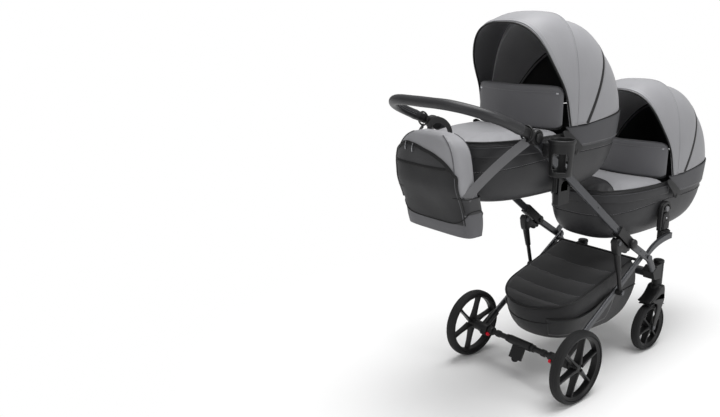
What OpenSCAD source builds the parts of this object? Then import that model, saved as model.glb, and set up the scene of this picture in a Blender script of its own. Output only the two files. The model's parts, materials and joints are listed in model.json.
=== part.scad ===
// Twin pram: folding chassis on four wheels, two carrycots one behind the other,
// a shopping basket, a cup holder and a changing bag hung on the handle.
// Millimetres. +Y is the way it rolls, +X the pusher's right, +Z up.
// The origin is on the ground, in the middle of the pram, under the rear axle.

/* [Wheels] */
// Outer radius of the rear wheels
rear_r = 141; // [125:1:160]
// Width of the rear tyres
rear_tyre_w = 41; // [32:1:46]
// Distance from the middle of a side tube out to the middle of its rear wheel
rear_wheel_out = 40.5; // [36:0.5:60]
// Outer radius of the front wheels
front_r = 105; // [92:1:112]
// Width of the front tyres
front_tyre_w = 38; // [30:1:40]
// Distance from the middle of a side tube in to the middle of its front wheel
front_wheel_in = 32; // [22:1:42]
// How far a front wheel trails behind its swivel
front_trail = 40; // [30:1:50]
// Radial depth of the tyres
tyre_depth = 15; // [11:1:18]
// Radial depth of the rims
rim_depth = 13; // [9:1:16]
// Number of spokes in each wheel
spokes = 6; // [5:1:8]
// Width of a spoke
spoke_w = 13; // [9:1:16]
// Radius of the wheel pins
wheel_pin_r = 6; // [4:0.5:7]

/* [Chassis] */
// Distance between the middles of the side tubes
tube_track = 434; // [430:1:440]
// Thickness of the side tubes across the pram
tube_w = 16; // [14:1:18]
// Depth of the side tubes
tube_h = 30; // [26:1:34]
// Wall of the tubes
tube_wall = 2; // [1.5:0.25:3]
// Thickness of the rear legs across the pram
leg_w = 14; // [12:1:16]
// Depth of the rear legs
leg_h = 26; // [22:1:28]
// Gap between the rear legs and the side tubes
leg_gap = 5; // [3:1:6]
// Main hinge, forward of the rear axle
hinge_y = 350; // [340:1:360]
// Main hinge, above the ground
hinge_z = 536; // [526:1:546]
// Bend of the front tubes, forward of the rear axle
bend_y = 507; // [500:1:515]
// Bend of the front tubes, above the ground
bend_z = 438; // [432:1:444]
// Lower end of the front tubes, forward of the rear axle
tube_end_y = 561; // [555:1:570]
// Lower end of the front tubes, above the ground
tube_end_z = 360; // [352:1:366]
// Where a rear leg crosses its front tube, forward of the rear axle
cross_y = 489; // [480:1:495]
// Top pivot of the braces, forward of the rear axle
brace_y = 259; // [250:1:265]
// Top pivot of the braces, above the ground
brace_z = 556; // [545:1:560]
// Where a brace meets its rear leg, forward of the rear axle
brace_foot_y = 317; // [305:1:330]
// Radius of the brace sleeves
sleeve_r = 13; // [11:0.5:14]
// Radius of the brace rods
rod_r = 8; // [6:0.5:9]
// Length of the brace sleeves from the pivot
sleeve_l = 125; // [100:5:150]
// Radius of the main hinge pins
hinge_pin_r = 6; // [5:0.5:8]
// Radius of the hinge knobs
knob_r = 17; // [14:1:19]
// Swivel axis of the front wheels, forward of the rear axle
swivel_y = 648; // [640:1:660]
// Top of the swivel housings
swivel_top = 392; // [380:1:400]
// Bottom of the swivel housings
swivel_bottom = 288; // [280:1:296]
// Radius of the swivel stems
stem_r = 9; // [7:0.5:11]
// Front cross bar, forward of the rear axle
bar_y = 607; // [600:1:615]
// Front cross bar, above the ground
bar_z = 342; // [338:1:348]
// Radius of the rear axle tube
axle_r = 11; // [9:0.5:13]
// Length of the brake pedal from the axle
pedal_l = 78; // [60:1:90]
// Width of the brake pedal
pedal_w = 58; // [40:1:80]

/* [Handle] */
// Handle pivot, forward of the rear axle
grip_pivot_y = -274; // [-285:1:-265]
// Handle pivot, above the ground
grip_pivot_z = 1016; // [1005:1:1025]
// Distance from the handle pivots to the middle of the bar
handle_reach = 292; // [285:1:310]
// Radius of the handle's corners
handle_corner_r = 160; // [120:5:175]
// Slope of the handle, in degrees
handle_rise = 22.8; // [18:0.2:25]
// Radius of the handle tube
handle_tube_r = 8; // [7:0.5:8.5]
// Radius of the padded grip
grip_r = 17; // [15:0.5:18]
// Radius of the handle pivots
hub_r = 24; // [21:1:26]
// Travel of the push buttons on the handle pivots
button_travel = 3; // [2:0.5:3.5]

/* [Carrycots] */
// Distance from the middle of a side tube in to the side of a cot tub
cot_side_gap = 30; // [29:0.5:34]
// Foot end of the rear cot
cot_foot_y = -445; // [-446:1:-435]
// Head end of the rear cot
cot_head_y = 375; // [365:1:380]
// Rim of the rear cot
cot_rim_z = 962; // [958:1:962]
// Bottom of the rear cot
cot_bottom_z = 785; // [780:1:790]
// Wall of the cot tubs
cot_wall = 4; // [3:0.5:6]
// How far the front cot sits ahead of the rear cot
cot_step_y = 710; // [705:1:715]
// How far the front cot sits below the rear cot
cot_drop = 270; // [268:1:272]
// Thickness of the mattresses
mattress_h = 42; // [30:1:50]
// Height of the padding of the aprons over the cot rim
apron_rise = 56; // [48:1:58]
// Where the apron ends towards the hood
apron_end_y = -122; // [-140:1:-120]
// Height of the wind flaps
flap_h = 162; // [120:1:165]
// Hood pivots of the rear cot, forward of the rear axle
hood_y = -11; // [-14:1:-8]
// Hood pivots of the rear cot, above the ground
hood_z = 934; // [932:1:936]
// Outer radius of the front hood panels
hood_front_r = 466; // [458:1:468]
// Outer radius of the middle hood panels
hood_mid_r = 440; // [432:1:446]
// Thickness of the hood panels
hood_t = 3; // [2:0.5:3]
// Clear gap between hood panels that slide over each other
hood_gap = 0.8; // [0.6:0.1:1]
// Middle of the cot latches, forward of the rear axle
latch_y = -75; // [-85:1:-70]
// Width of the cot latches
latch_w = 62; // [54:1:66]
// Height of the cot latches
latch_h = 119; // [105:1:119]
// Thickness of the cot latches
latch_t = 17; // [15:0.5:18]
// Depth of the adapter feet under the latches
foot_h = 40; // [30:1:44]
// Radius of the release buttons on the latches
release_r = 11; // [8:0.5:13]

/* [Basket and bag] */
// Rear end of the basket lid
basket_rear_y = -8; // [-10:1:20]
// Front rod of the basket, forward of the rear axle
basket_rod_y = 466; // [460:1:470]
// Distance from the inside of a rear leg to the side of the basket
basket_side_gap = 24; // [20:1:35]
// Slope of the basket lid, as rise over run
basket_slope = 0.273; // [0.26:0.005:0.28]
// Bottom of the basket
basket_bottom_z = 174; // [170:1:195]
// How far the front of the basket sags forward of the rod
basket_sag = 38; // [20:1:42]
// Thickness of the basket lid at its quilted crowns
lid_t = 13; // [10:1:15]
// Width of the changing bag
bag_w = 296; // [270:2:300]
// Depth of the changing bag
bag_d = 98; // [84:1:100]
// Bottom of the changing bag
bag_bottom_z = 705; // [700:1:725]
// Top of the changing bag
bag_top_z = 1036; // [1015:1:1040]
// Radius of the bag's hooks
hook_r = 24; // [23:0.5:27]
// Thickness of the bag's hooks
hook_wire_r = 3; // [2:0.5:3.5]

/* [Cup holder] */
// Inside radius of the cup holder
cup_r = 37; // [34:0.5:40]
// Wall of the cup holder
cup_wall = 3.5; // [2.5:0.5:4]
// Depth of the cup holder
cup_depth = 112; // [90:1:120]
// Middle of the cup holder, forward of the rear axle
cup_y = -212; // [-216:1:-205]
// Rim of the cup holder
cup_rim_z = 1008; // [1000:1:1012]

/* [Clearances] */
// Clear gap between parts that only lie against each other
seat_gap = 0.4; // [0.3:0.1:0.6]
// Radial running clearance of pins in bores
run_gap = 0.05; // [0.02:0.01:0.1]

/* [Hidden] */
$fn = 48;
tube_x = tube_track / 2;
tube_in = tube_x - tube_w / 2;
tube_out = tube_x + tube_w / 2;
leg_x = tube_in - leg_gap - leg_w / 2;
leg_in = leg_x - leg_w / 2;
leg_out = leg_x + leg_w / 2;
rear_track = tube_track + 2 * rear_wheel_out;
front_track = tube_track - 2 * front_wheel_in;
hinge = [hinge_y, hinge_z];
bend = [bend_y, bend_z];
tube_end = [tube_end_y, tube_end_z];
rear_axle_p = [0, rear_r];
front_slope = (bend_z - hinge_z) / (bend_y - hinge_y);
cross_p = [cross_y, hinge_z + front_slope * (cross_y - hinge_y)];
leg_slope = (cross_p[1] - rear_r) / cross_y;
brace_top = [brace_y, brace_z];
brace_foot = [brace_foot_y, rear_r + leg_slope * brace_foot_y];
basket_rod = [basket_rod_y, rear_r + leg_slope * basket_rod_y];
grip_pivot = [grip_pivot_y, grip_pivot_z];
// Side cheeks of the main hinge, clear of the eye between them
cheek_t = 5.7;
cheek_in = tube_in - seat_gap;
cheek_out = tube_out + seat_gap;
eye_r = 17;
bolt_r = 5;
bolt_head_r = 9;
bolt_head_t = 4;
// Handle: the arms turn outside the side tubes
arm_in = tube_out + seat_gap;
arm_t = 18;
arm_x = arm_in + arm_t / 2;
arm_out = arm_in + arm_t;
arm_l = handle_reach - handle_corner_r;
boss_r = 8;
boss_l = 9;
cap_r = 15;
cap_depth = 8;
cap_t = 9;
grip_start = 30;
// Carrycots
cot_w = tube_track - 2 * cot_side_gap;
cot_half_w = cot_w / 2;
cot_mid_y = (cot_head_y + cot_foot_y) / 2;
cot_half_l = (cot_head_y - cot_foot_y) / 2;
cot_step = [0, cot_step_y, -cot_drop];
cot_n = 3;
cot_sides = 44;
cot_floor = 0.66;
cot_floor_shift = -25;
band_in = cot_half_w + 0.6;
band_t = 3.4;
band_out = band_in + band_t;
hood_mid_b = band_out + hood_gap + hood_t;
hood_front_b = hood_mid_b + hood_gap + hood_t;
hood_n = 3;
hood_steps = 20;
hood_inner_r = 110;
hood_rear_a = 54;
hood_rear_r = hood_mid_r - hood_t - hood_gap;
hood_rear_top = [hood_y, hood_z] + hood_rear_r * [cos(hood_rear_a), sin(hood_rear_a)];
// The fixed rear panel curves more tightly, down to the top of the band at the head end
hood_rear_end = [cot_head_y + 4, cot_rim_z + 86];
hood_rear_fall = hood_rear_end - hood_rear_top;
hood_rear_bow = (hood_rear_fall * hood_rear_fall)
    / (-2 * hood_rear_fall * [cos(hood_rear_a), sin(hood_rear_a)]);
hood_rear_mid = hood_rear_top - hood_rear_bow * [cos(hood_rear_a), sin(hood_rear_a)];
hood_mid_a = [53, 89];
hood_front_a = [88, 112];
hood_pin_r = 5;
hood_arm_w = 22;
latch_in = cot_half_w + 1;
latch_out = latch_in + latch_t;
latch_z = cot_rim_z - 162;
tongue_t = 5.4;
tongue_h = 52;
plate_in = latch_out + 0.6;
flap_half_w = cot_half_w - 17;
flap_bow = 35;
flap_t = 5;
flap_z = cot_rim_z + 40;
// Basket and bag
basket_half_w = leg_in - basket_side_gap;
// Depth of the lid's flat underside below its plane
lid_base = lid_t * 0.2 + 1.7;
bag_mid_x = 15;
bag_mid_y = -497;
hook_y = grip_pivot_y - 46;
hook_top_z = grip_pivot_z + 46 * tan(handle_rise) + (grip_r + seat_gap + hook_wire_r) / cos(handle_rise);
cup_x = tube_out + 22 + cup_r + cup_wall;

// Helpers: points of the side plane are [y, z]
function run(p, q) = norm(q - p);
function slope(p, q) = atan2(q[1] - p[1], q[0] - p[0]);
function part_way(p, q, d) = p + (q - p) * d / run(p, q);
function spow(v, e) = sign(v) * pow(abs(v), e);
// Point of a superellipse: half sizes a and b, exponent n, at angle t
function superellipse(a, b, n, t) = [a * spow(cos(t), 2 / n), b * spow(sin(t), 2 / n)];

module both_sides() {
    children();
    mirror([1, 0, 0]) children();
}

// Puts its child's +Z along p to q, at x across the pram
module along(p, q, x) translate([x, p[0], p[1]]) rotate([slope(p, q) - 90, 0, 0]) children();

// A round bar or hole across the pram at p, from x0 to x1
module across(p, x0, x1, r) translate([x0, p[0], p[1]]) rotate([0, 90, 0]) cylinder(r = r, h = x1 - x0);

module flat_oval(w, h) {
    square([w, h - w], center = true);
    for (s = [-1, 1]) translate([0, s * (h - w) / 2]) circle(d = w);
}

// Flat-oval bar from p to q, or a tube where a wall is given
module oval_bar(p, q, x, w, h, wall = 0) along(p, q, x) linear_extrude(run(p, q)) difference() {
    flat_oval(w, h);
    if (wall > 0) flat_oval(w - 2 * wall, h - 2 * wall);
}

// Extrudes an outline drawn in the side plane [y, z] from x0 to x1
module side_plate(x0, x1) translate([x0, 0, 0]) rotate([90, 0, 90]) linear_extrude(x1 - x0) children();

// Closed solid through a stack of rings with equal counts of points
module loft(rings) {
    count = len(rings[0]);
    last = len(rings) - 1;
    polyhedron(
        points = [for (ring = rings) each ring],
        faces = [
            [for (i = [0:count - 1]) i],
            for (j = [0:last - 1], i = [0:count - 1]) let (k = (i + 1) % count) each [
                [j * count + i, (j + 1) * count + k, j * count + k],
                [j * count + i, (j + 1) * count + i, (j + 1) * count + k]
            ],
            [for (i = [count - 1:-1:0]) last * count + i]
        ]
    );
}

// Front frame
// Bent tube: two straight runs, the lower one a little slimmer, and a knee between them
module front_tube_outer(grow = 0) {
    oval_bar(hinge, part_way(bend, hinge, -4), tube_x, tube_w + grow, tube_h + grow);
    across(bend, tube_in + 1.5 - grow / 2, tube_out - 1.5 + grow / 2, tube_h / 2 - 0.6 + grow / 2);
    oval_bar(part_way(bend, tube_end, -4), tube_end, tube_x, tube_w - 0.4 + grow, tube_h - 0.4 + grow);
}

module front_tubes() color("dimgray") both_sides() difference() {
    front_tube_outer();
    across(hinge, tube_in - 1, tube_out + 1, eye_r + 0.02);
    across(cross_p, tube_in - 1, tube_out + 1, bolt_r + 0.02);
}

module hinge_brackets() color("black") both_sides() difference() {
    union() {
        across(hinge, tube_in, tube_out, eye_r);
        across(brace_top, tube_in, tube_out, 12);
        difference() {
            oval_bar(hinge + [-5, -24], brace_top, tube_x, tube_w, 18);
            across(hinge, tube_in - 1, tube_out + 1, eye_r - 1);
        }
    }
    across(hinge, tube_in - 1, tube_out + 1, hinge_pin_r + 0.02);
    across(brace_top, tube_in - 1, tube_out + 1, bolt_r + 0.02);
    front_tube_outer(0.04);
}

module hinge_pins() color("black") both_sides() {
    knob_in = cheek_out + cheek_t + seat_gap;
    across(hinge, cheek_in - cheek_t - seat_gap - bolt_head_t, cheek_in - cheek_t - seat_gap, bolt_head_r);
    across(hinge, cheek_in - cheek_t - seat_gap - 1, knob_in + 1, hinge_pin_r);
    across(hinge, knob_in, knob_in + 11, knob_r);
}

module front_cross_bar() color("dimgray") difference() {
    half = front_track / 2 - 9 - seat_gap;
    across([bar_y, bar_z], -half, half, 11);
    across([bar_y, bar_z], -half - 1, half + 1, 11 - tube_wall);
}

module swivel_housings() color("black") both_sides() difference() {
    swivel_x = front_track / 2;
    union() {
        translate([swivel_x, swivel_y, swivel_bottom]) cylinder(r = 21, h = swivel_top - swivel_bottom);
        side_plate(swivel_x - 9, tube_out + 1.5) polygon([
            [tube_end_y - 26, tube_end_z + 12], [tube_end_y + 2, tube_end_z + 32],
            [tube_end_y + 30, tube_end_z + 14], [tube_end_y + 30, swivel_bottom + 46],
            [tube_end_y - 10, tube_end_z - 22]
        ]);
        side_plate(swivel_x - 9, swivel_x + 20) polygon([
            [tube_end_y, tube_end_z + 20], [swivel_y, swivel_top - 8], [swivel_y, swivel_bottom + 28],
            [bar_y, swivel_bottom + 34], [tube_end_y, swivel_bottom + 50]
        ]);
    }
    translate([swivel_x, swivel_y, swivel_bottom - 1]) cylinder(r = stem_r + run_gap, h = swivel_top);
    front_tube_outer(0.04);
}

// Rear legs, braces and axle
module leg_outer(grow = 0) oval_bar(
    part_way(rear_axle_p, cross_p, 20 + seat_gap), part_way(cross_p, rear_axle_p, -14), leg_x,
    leg_w + grow, leg_h + grow
);

module rear_legs() color("dimgray") both_sides() difference() {
    leg_outer();
    oval_bar(
        rear_axle_p, part_way(brace_foot, rear_axle_p, 20), leg_x,
        leg_w - 2 * tube_wall, leg_h - 2 * tube_wall
    );
    across(cross_p, leg_in - 1, leg_out + 1, bolt_r + 0.02);
    across(brace_foot, leg_in - 1, leg_out + 1, bolt_r + 0.02);
}

// One bolt with two heads between the faces x0 and x1
module bolt(p, x0, x1) {
    across(p, x0, x1, bolt_r);
    across(p, x0 - bolt_head_t, x0, bolt_head_r);
    across(p, x1, x1 + bolt_head_t, bolt_head_r);
}

module frame_bolts() color("silver") both_sides() {
    bolt(cross_p, leg_in - seat_gap, tube_out + seat_gap);
    difference() {
        across(cross_p, leg_out + 0.02, tube_in - 0.02, bolt_head_r);
        across(cross_p, leg_out - 1, tube_in + 1, bolt_r - 0.5);
    }
    bolt(brace_foot, leg_in - seat_gap, tube_out + 1 + seat_gap);
    bolt(brace_top, cheek_in - cheek_t - seat_gap, cheek_out + cheek_t + seat_gap);
}

module brace_sleeves() color("black") both_sides() difference() {
    union() {
        along(brace_top, brace_foot, tube_x) translate([0, 0, 16])
            cylinder(r1 = sleeve_r + 2, r2 = sleeve_r - 2, h = sleeve_l - 16);
        for (x0 = [cheek_in - cheek_t, cheek_out]) {
            across(brace_top, x0, x0 + cheek_t, 11);
            oval_bar(brace_top, part_way(brace_top, brace_foot, 30), x0 + cheek_t / 2, cheek_t, 20);
        }
        oval_bar(
            part_way(brace_top, brace_foot, 15), part_way(brace_top, brace_foot, 32), tube_x,
            tube_w + 2 * cheek_t, 24
        );
    }
    along(brace_top, brace_foot, tube_x) translate([0, 0, 60]) cylinder(r = rod_r + 0.02, h = sleeve_l);
    across(brace_top, cheek_in - cheek_t - 1, cheek_out + cheek_t + 1, bolt_r + 0.02);
    across(brace_top, cheek_in, cheek_out, 13);
    oval_bar(hinge + [-5, -24], brace_top, tube_x, tube_w + 2 * seat_gap, 20);
}

module brace_rods() color("black") both_sides() difference() {
    union() {
        along(brace_top, brace_foot, tube_x) translate([0, 0, 62])
            cylinder(r = rod_r, h = run(brace_top, brace_foot) - 62);
        across(brace_foot, leg_out + seat_gap, tube_out + 1, 13);
    }
    across(brace_foot, leg_out, tube_out + 2, bolt_r + 0.02);
}

hub_in = rear_track / 2 - rear_tyre_w / 2 - 5;
hub_out = rear_track / 2 + 12;

module rear_axle() color("black") {
    across(rear_axle_p, -hub_in + 2, hub_in - 2, axle_r);
    both_sides() across(rear_axle_p, hub_in - 3, hub_out + 2, wheel_pin_r);
}

// Middle of the wheel release buttons
release_p = [-17, rear_r - 12];

module axle_castings() color("black") both_sides() difference() {
    union() {
        across(rear_axle_p, leg_in - 26, hub_in - 1, 20);
        across(release_p, leg_in - 26, leg_in, 10);
        oval_bar(
            part_way(rear_axle_p, cross_p, 12), part_way(rear_axle_p, cross_p, 92), leg_x,
            leg_w + 9, leg_h + 9
        );
    }
    across(rear_axle_p, leg_in - 30, hub_in, axle_r + 0.02);
    across(release_p, leg_in - 30, leg_in - 10, 4 + run_gap);
    leg_outer(0.04);
}

module wheel_release() {
    inner = leg_in - 26;
    across(release_p, inner - 14, inner - 5, 7);
    across(release_p, inner - 6, inner + 9, 4);
}
module wheel_release_right() color("red") wheel_release();
module wheel_release_left() color("red") mirror([1, 0, 0]) wheel_release();

module brake_pedal() color("black") difference() {
    union() {
        across(rear_axle_p, -52, 52, 17);
        translate([0, 0, rear_r]) rotate([-27, 0, 0]) {
            translate([-pedal_w / 2, -6, -pedal_l + 12]) cube([pedal_w, 9, pedal_l - 12]);
            translate([0, 3, -pedal_l + 14]) rotate([90, 0, 0]) cylinder(r = 14, h = 9);
        }
    }
    across(rear_axle_p, -53, 53, axle_r + run_gap);
}

// Wheels, turned about their own axle at the origin with the axle along X
module tyre(r, w) rotate([0, 90, 0]) rotate_extrude($fn = 96) difference() {
    polygon([for (t = [-90:15:90]) [r - tyre_depth, 0] + superellipse(tyre_depth, w / 2, 2.6, t)]);
    translate([r - tyre_depth - 1, -w]) square([1, 2 * w]);
}

module rim(r, w, hub_a, hub_b, hub_radius, pin_r) difference() {
    ring_r = r - tyre_depth;
    union() {
        rotate([0, 90, 0]) rotate_extrude($fn = 96) polygon([
            [ring_r - 0.02, -w / 2 + 4], [ring_r - 0.02, w / 2 - 4], [ring_r - rim_depth, w / 2 - 9],
            [ring_r - rim_depth, -w / 2 + 9]
        ]);
        translate([hub_a, 0, 0]) rotate([0, 90, 0]) cylinder(r = hub_radius, h = hub_b - hub_a);
        for (i = [0:spokes - 1]) rotate([i * 360 / spokes, 0, 0]) {
            spoke_l = ring_r - rim_depth / 2 - hub_radius;
            translate([2, -spoke_w / 2, hub_radius - 3]) cube([6, spoke_w, spoke_l]);
            translate([-8, -2.5, hub_radius - 3]) cube([11, 5, spoke_l]);
        }
    }
    translate([hub_a - 1, 0, 0]) rotate([0, 90, 0]) cylinder(r = pin_r + run_gap, h = hub_b - hub_a + 2);
}

module at_rear(s) mirror([s < 0 ? 1 : 0, 0, 0]) translate([rear_track / 2, 0, rear_r]) children();
module at_front(s) mirror([s < 0 ? 1 : 0, 0, 0])
    translate([front_track / 2, swivel_y - front_trail, front_r]) children();
module rear_rim() rim(
    rear_r, rear_tyre_w, hub_in - rear_track / 2, hub_out - rear_track / 2, 19, wheel_pin_r
);
module front_rim() rim(front_r, front_tyre_w, -front_tyre_w / 2 - 2, front_tyre_w / 2 + 2, 15, bolt_r);
module rear_tyre_right() color("#1c1c1c") at_rear(1) tyre(rear_r, rear_tyre_w);
module rear_tyre_left() color("#1c1c1c") at_rear(-1) tyre(rear_r, rear_tyre_w);
module rear_rim_right() color("black") at_rear(1) rear_rim();
module rear_rim_left() color("black") at_rear(-1) rear_rim();
module front_tyre_right() color("#1c1c1c") at_front(1) tyre(front_r, front_tyre_w);
module front_tyre_left() color("#1c1c1c") at_front(-1) tyre(front_r, front_tyre_w);
module front_rim_right() color("black") at_front(1) front_rim();
module front_rim_left() color("black") at_front(-1) front_rim();

// Fork with its stem, mudguard and wheel bolt, the wheel's middle at the origin
module fork() {
    side = front_tyre_w / 2 + 3;
    crown = swivel_bottom - front_r - seat_gap;
    guard_r = front_r + 8;
    translate([0, front_trail, crown - 4]) cylinder(r = stem_r, h = swivel_top - swivel_bottom);
    translate([0, front_trail, guard_r]) cylinder(r = 20, h = crown - guard_r);
    both_sides() side_plate(side, side + 7) polygon([
        [-11, -4], [-6, -11], [6, -11], [12, -2], [front_trail + 14, guard_r - 16],
        [front_trail + 14, guard_r + 12], [front_trail - 22, guard_r + 12], [front_trail - 22, guard_r - 26]
    ]);
    translate([-side - 1, front_trail - 22, guard_r - 8]) cube([2 * side + 2, 36, 20]);
    rotate([20, 0, 0]) rotate([0, -90, 0]) rotate_extrude(angle = 78, $fn = 96)
        translate([guard_r - 3, -side - 1]) square([5, 2 * side + 2]);
    translate([-side - 11, 0, 0]) rotate([0, 90, 0]) cylinder(r = bolt_r, h = 2 * side + 22);
    both_sides() translate([side + 6, 0, 0]) rotate([0, 90, 0]) cylinder(r = bolt_head_r, h = 6);
}
module fork_right() color("black") at_front(1) fork();
module fork_left() color("black") at_front(-1) fork();

// Arms that carry the front cot
function arm_at(u) = pow(1 - u, 2) * [bend_y - 19, bend_z + 18]
    + 2 * u * (1 - u) * [bend_y + 36, adapter_z + 15]
    + pow(u, 2) * [latch_y + cot_step_y + 26, adapter_z + 17];
adapter_z = latch_z - foot_h - cot_drop;
arm_steps = 12;
arm_half_h = 12;

module cot_arms() color("dimgray") both_sides() difference() {
    side_plate(tube_in + 2, tube_out - 2) polygon([
        for (i = [0:arm_steps]) arm_at(i / arm_steps) + [0, arm_half_h],
        for (i = [arm_steps:-1:0]) arm_at(i / arm_steps) - [0, arm_half_h]
    ]);
    front_tube_outer(0.04);
}

// Foot under a cot latch, its tongue, and the plate that joins it to x = plate_out
module adapter(plate_out, plate_top) {
    y0 = latch_y - latch_w / 2;
    z0 = latch_z - foot_h;
    tongue_x = (latch_in + latch_out - tongue_t) / 2;
    translate([latch_in, y0, z0]) cube([plate_in - latch_in + 0.5, latch_w, foot_h - seat_gap]);
    translate([tongue_x, y0 + 18, z0 + foot_h - 2]) cube([tongue_t, latch_w - 36, tongue_h]);
    translate([plate_in, y0, z0]) cube([plate_out - plate_in, latch_w, plate_top - z0]);
}

module upper_adapters() color("black") both_sides() adapter(tube_in, latch_z + 62);
module lower_adapters() color("black") both_sides() translate(cot_step) adapter(tube_in + 2, latch_z - 4);

// Basket
function lid_z(y) = basket_rod[1] + basket_slope * (y - basket_rod_y);
// Half width of the basket at a length y, with a round rear end
function basket_half(y) = let (
    back = (y - basket_rear_y) / 165,
    round_end = back >= 1 ? 1 : sqrt(max(0, 1 - pow(1 - back, 2.2)))
) basket_half_w * (0.93 + 0.07 * (y - basket_rear_y) / (basket_rod_y - basket_rear_y)) * round_end;
lid_front_y = basket_rod_y - 6 - seat_gap;

module basket_rod() color("black") across(basket_rod, -leg_in + 0.02, leg_in - 0.02, 6);

basket_steps = 12;
// Half outline from the front to the rear, evenly stepped by angle
function basket_y(i, inset) = let (front = lid_front_y - inset, back = basket_rear_y + inset)
    back + (front - back) * (1 - sin(90 * i / basket_steps));
function basket_ring(inset, drop, floor_share) = [
    for (side = [-1, 1], i = side < 0 ? [0:basket_steps] : [basket_steps - 1:-1:0]) let (
        y = basket_y(i, inset + 0.5),
        x = max(0.5, basket_half(y) - inset) * (1 - 0.16 * floor_share),
        sag = basket_sag * sin(180 * pow(max(0, drop), 0.8)) * max(0, (y - 250) / (basket_rod_y - 250)),
        yy = y + (54 - 0.08 * y) * floor_share * (y < 240 ? (240 - y) / 240 : 0) + sag,
        z = (lid_z(y) - lid_base - seat_gap) * (1 - drop) + (basket_bottom_z + inset) * drop
    ) [side * (i == basket_steps ? 0 : x), yy, z]
];

module basket_tub() color("#202020") {
    difference() {
        loft([for (s = [1, 0.93, 0.75, 0.4, 0]) basket_ring(0, s, s * s)]);
        loft([for (s = [1, 0.93, 0.75, 0.4, -0.1]) basket_ring(3, s, s * s)]);
    }
    tab_x = 0.94 * basket_half(190) - 2;
    both_sides() translate([tab_x, 175, rear_r + leg_slope * 190 - 4])
        cube([leg_in - seat_gap - tab_x, 30, 4]);
}

lid_rows = 24;
lid_cols = 10;
lid_channels = 5;
// Quilted top of the lid: a crown between sewn lines across it, thin at the edges
function lid_crown(u, v) = (0.35 + 0.65 * pow(abs(sin(180 * lid_channels * u)), 0.6))
    * pow(max(0, 1 - pow(abs(v), 4)), 0.5);
function lid_y(u) = basket_rear_y + 1 + (lid_front_y - basket_rear_y - 1) * pow(u, 1.35);
function lid_ring(i) = let (u = i / lid_rows, y = lid_y(u)) [
    for (top = [1, 0], k = top > 0 ? [0:lid_cols] : [lid_cols - 1:-1:1]) let (
        v = -1 + 2 * k / lid_cols
    ) [
        v * max(2, basket_half(y) + 4), y,
        lid_z(y) + (top > 0 ? 0.8 * lid_t * lid_crown(u, v) - 1.5 : -lid_base)
    ]
];

module basket_lid() color("#262626") loft([for (i = [0:lid_rows]) lid_ring(i)]);

// Upper frame
tube_low = part_way(hinge, grip_pivot, 36);
module upper_tube_outer(grow = 0) oval_bar(tube_low, grip_pivot, tube_x, tube_w + grow, tube_h + grow);

module upper_tubes() color("dimgray") both_sides() difference() {
    upper_tube_outer();
    oval_bar(
        part_way(hinge, grip_pivot, 60), grip_pivot, tube_x, tube_w - 2 * tube_wall, tube_h - 2 * tube_wall
    );
    across(grip_pivot, tube_in - 1, tube_out + 1, hub_r + 0.02);
}

module fold_brackets() color("black") both_sides() difference() {
    side_plate(cheek_in - cheek_t, cheek_out + cheek_t) translate(hinge) {
        circle(r = eye_r + 3);
        rotate(slope(hinge, grip_pivot)) translate([0, -tube_h / 2 - 3]) square([112, tube_h + 6]);
    }
    across(hinge, cheek_in, cheek_out, eye_r + 17);
    across(hinge, cheek_in - cheek_t - 1, cheek_out + cheek_t + 1, hinge_pin_r + run_gap);
    upper_tube_outer(0.04);
}

module handle_hubs() color("black") both_sides() {
    across(grip_pivot, tube_in, tube_out, hub_r);
    across(grip_pivot, tube_out - 1, arm_in + boss_l, boss_r);
}

// Handle: a tube in the sloping plane behind the pivots
module handle_plane() translate([0, grip_pivot_y, grip_pivot_z]) rotate([-handle_rise, 0, 0]) children();

module handle_path(r, start) {
    turn_x = arm_x - handle_corner_r;
    for (s = [-1, 1]) {
        translate([s * arm_x, -start, 0]) rotate([90, 0, 0]) cylinder(r = r, h = arm_l - start);
        translate([s * turn_x, -arm_l, 0]) rotate([0, 0, s > 0 ? -90 : 180])
            rotate_extrude(angle = 90) translate([handle_corner_r, 0]) circle(r = r);
    }
    translate([-turn_x, -handle_reach, 0]) rotate([0, 90, 0]) cylinder(r = r, h = 2 * turn_x);
}

module handle_bar() color("black") difference() {
    union() {
        handle_plane() handle_path(handle_tube_r, hub_r - 4);
        both_sides() across(grip_pivot, arm_in, arm_out, hub_r);
    }
    both_sides() {
        across(grip_pivot, arm_in - 1, arm_out, boss_r + run_gap);
        across(grip_pivot, arm_out - cap_depth, arm_out + 1, cap_r + run_gap);
    }
}

module handle_grip() color("#2a2a2a") handle_plane() difference() {
    handle_path(grip_r, grip_start);
    handle_path(handle_tube_r + 0.04, grip_start - 10);
}

module handle_button() {
    face = arm_out - cap_depth + button_travel + 1;
    across(grip_pivot, face, face + cap_t, cap_r);
}
module handle_button_right() color("black") handle_button();
module handle_button_left() color("black") mirror([1, 0, 0]) handle_button();

module cup_holder() color("black") difference() {
    outer_r = cup_r + cup_wall;
    floor_z = cup_rim_z - cup_depth;
    tube_mid_z = hinge_z + (grip_pivot_z - hinge_z) * (cup_y - hinge_y) / (grip_pivot_y - hinge_y);
    union() {
        translate([cup_x, cup_y, floor_z - cup_wall]) cylinder(r = outer_r, h = cup_depth + cup_wall);
        translate([cup_x, cup_y, cup_rim_z - 6]) cylinder(r = outer_r + 2, h = 6);
        translate([tube_out, cup_y - 15, tube_mid_z - 22]) cube([cup_x - tube_out - cup_r, 30, 44]);
    }
    translate([cup_x, cup_y, floor_z]) cylinder(r = cup_r, h = cup_depth + 1);
    for (a = [0, 90, 270]) translate([cup_x, cup_y, floor_z + 14]) rotate([0, 0, a])
        translate([cup_r - 3, -15, 0]) cube([cup_wall + 8, 30, cup_depth - 58]);
}

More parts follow.
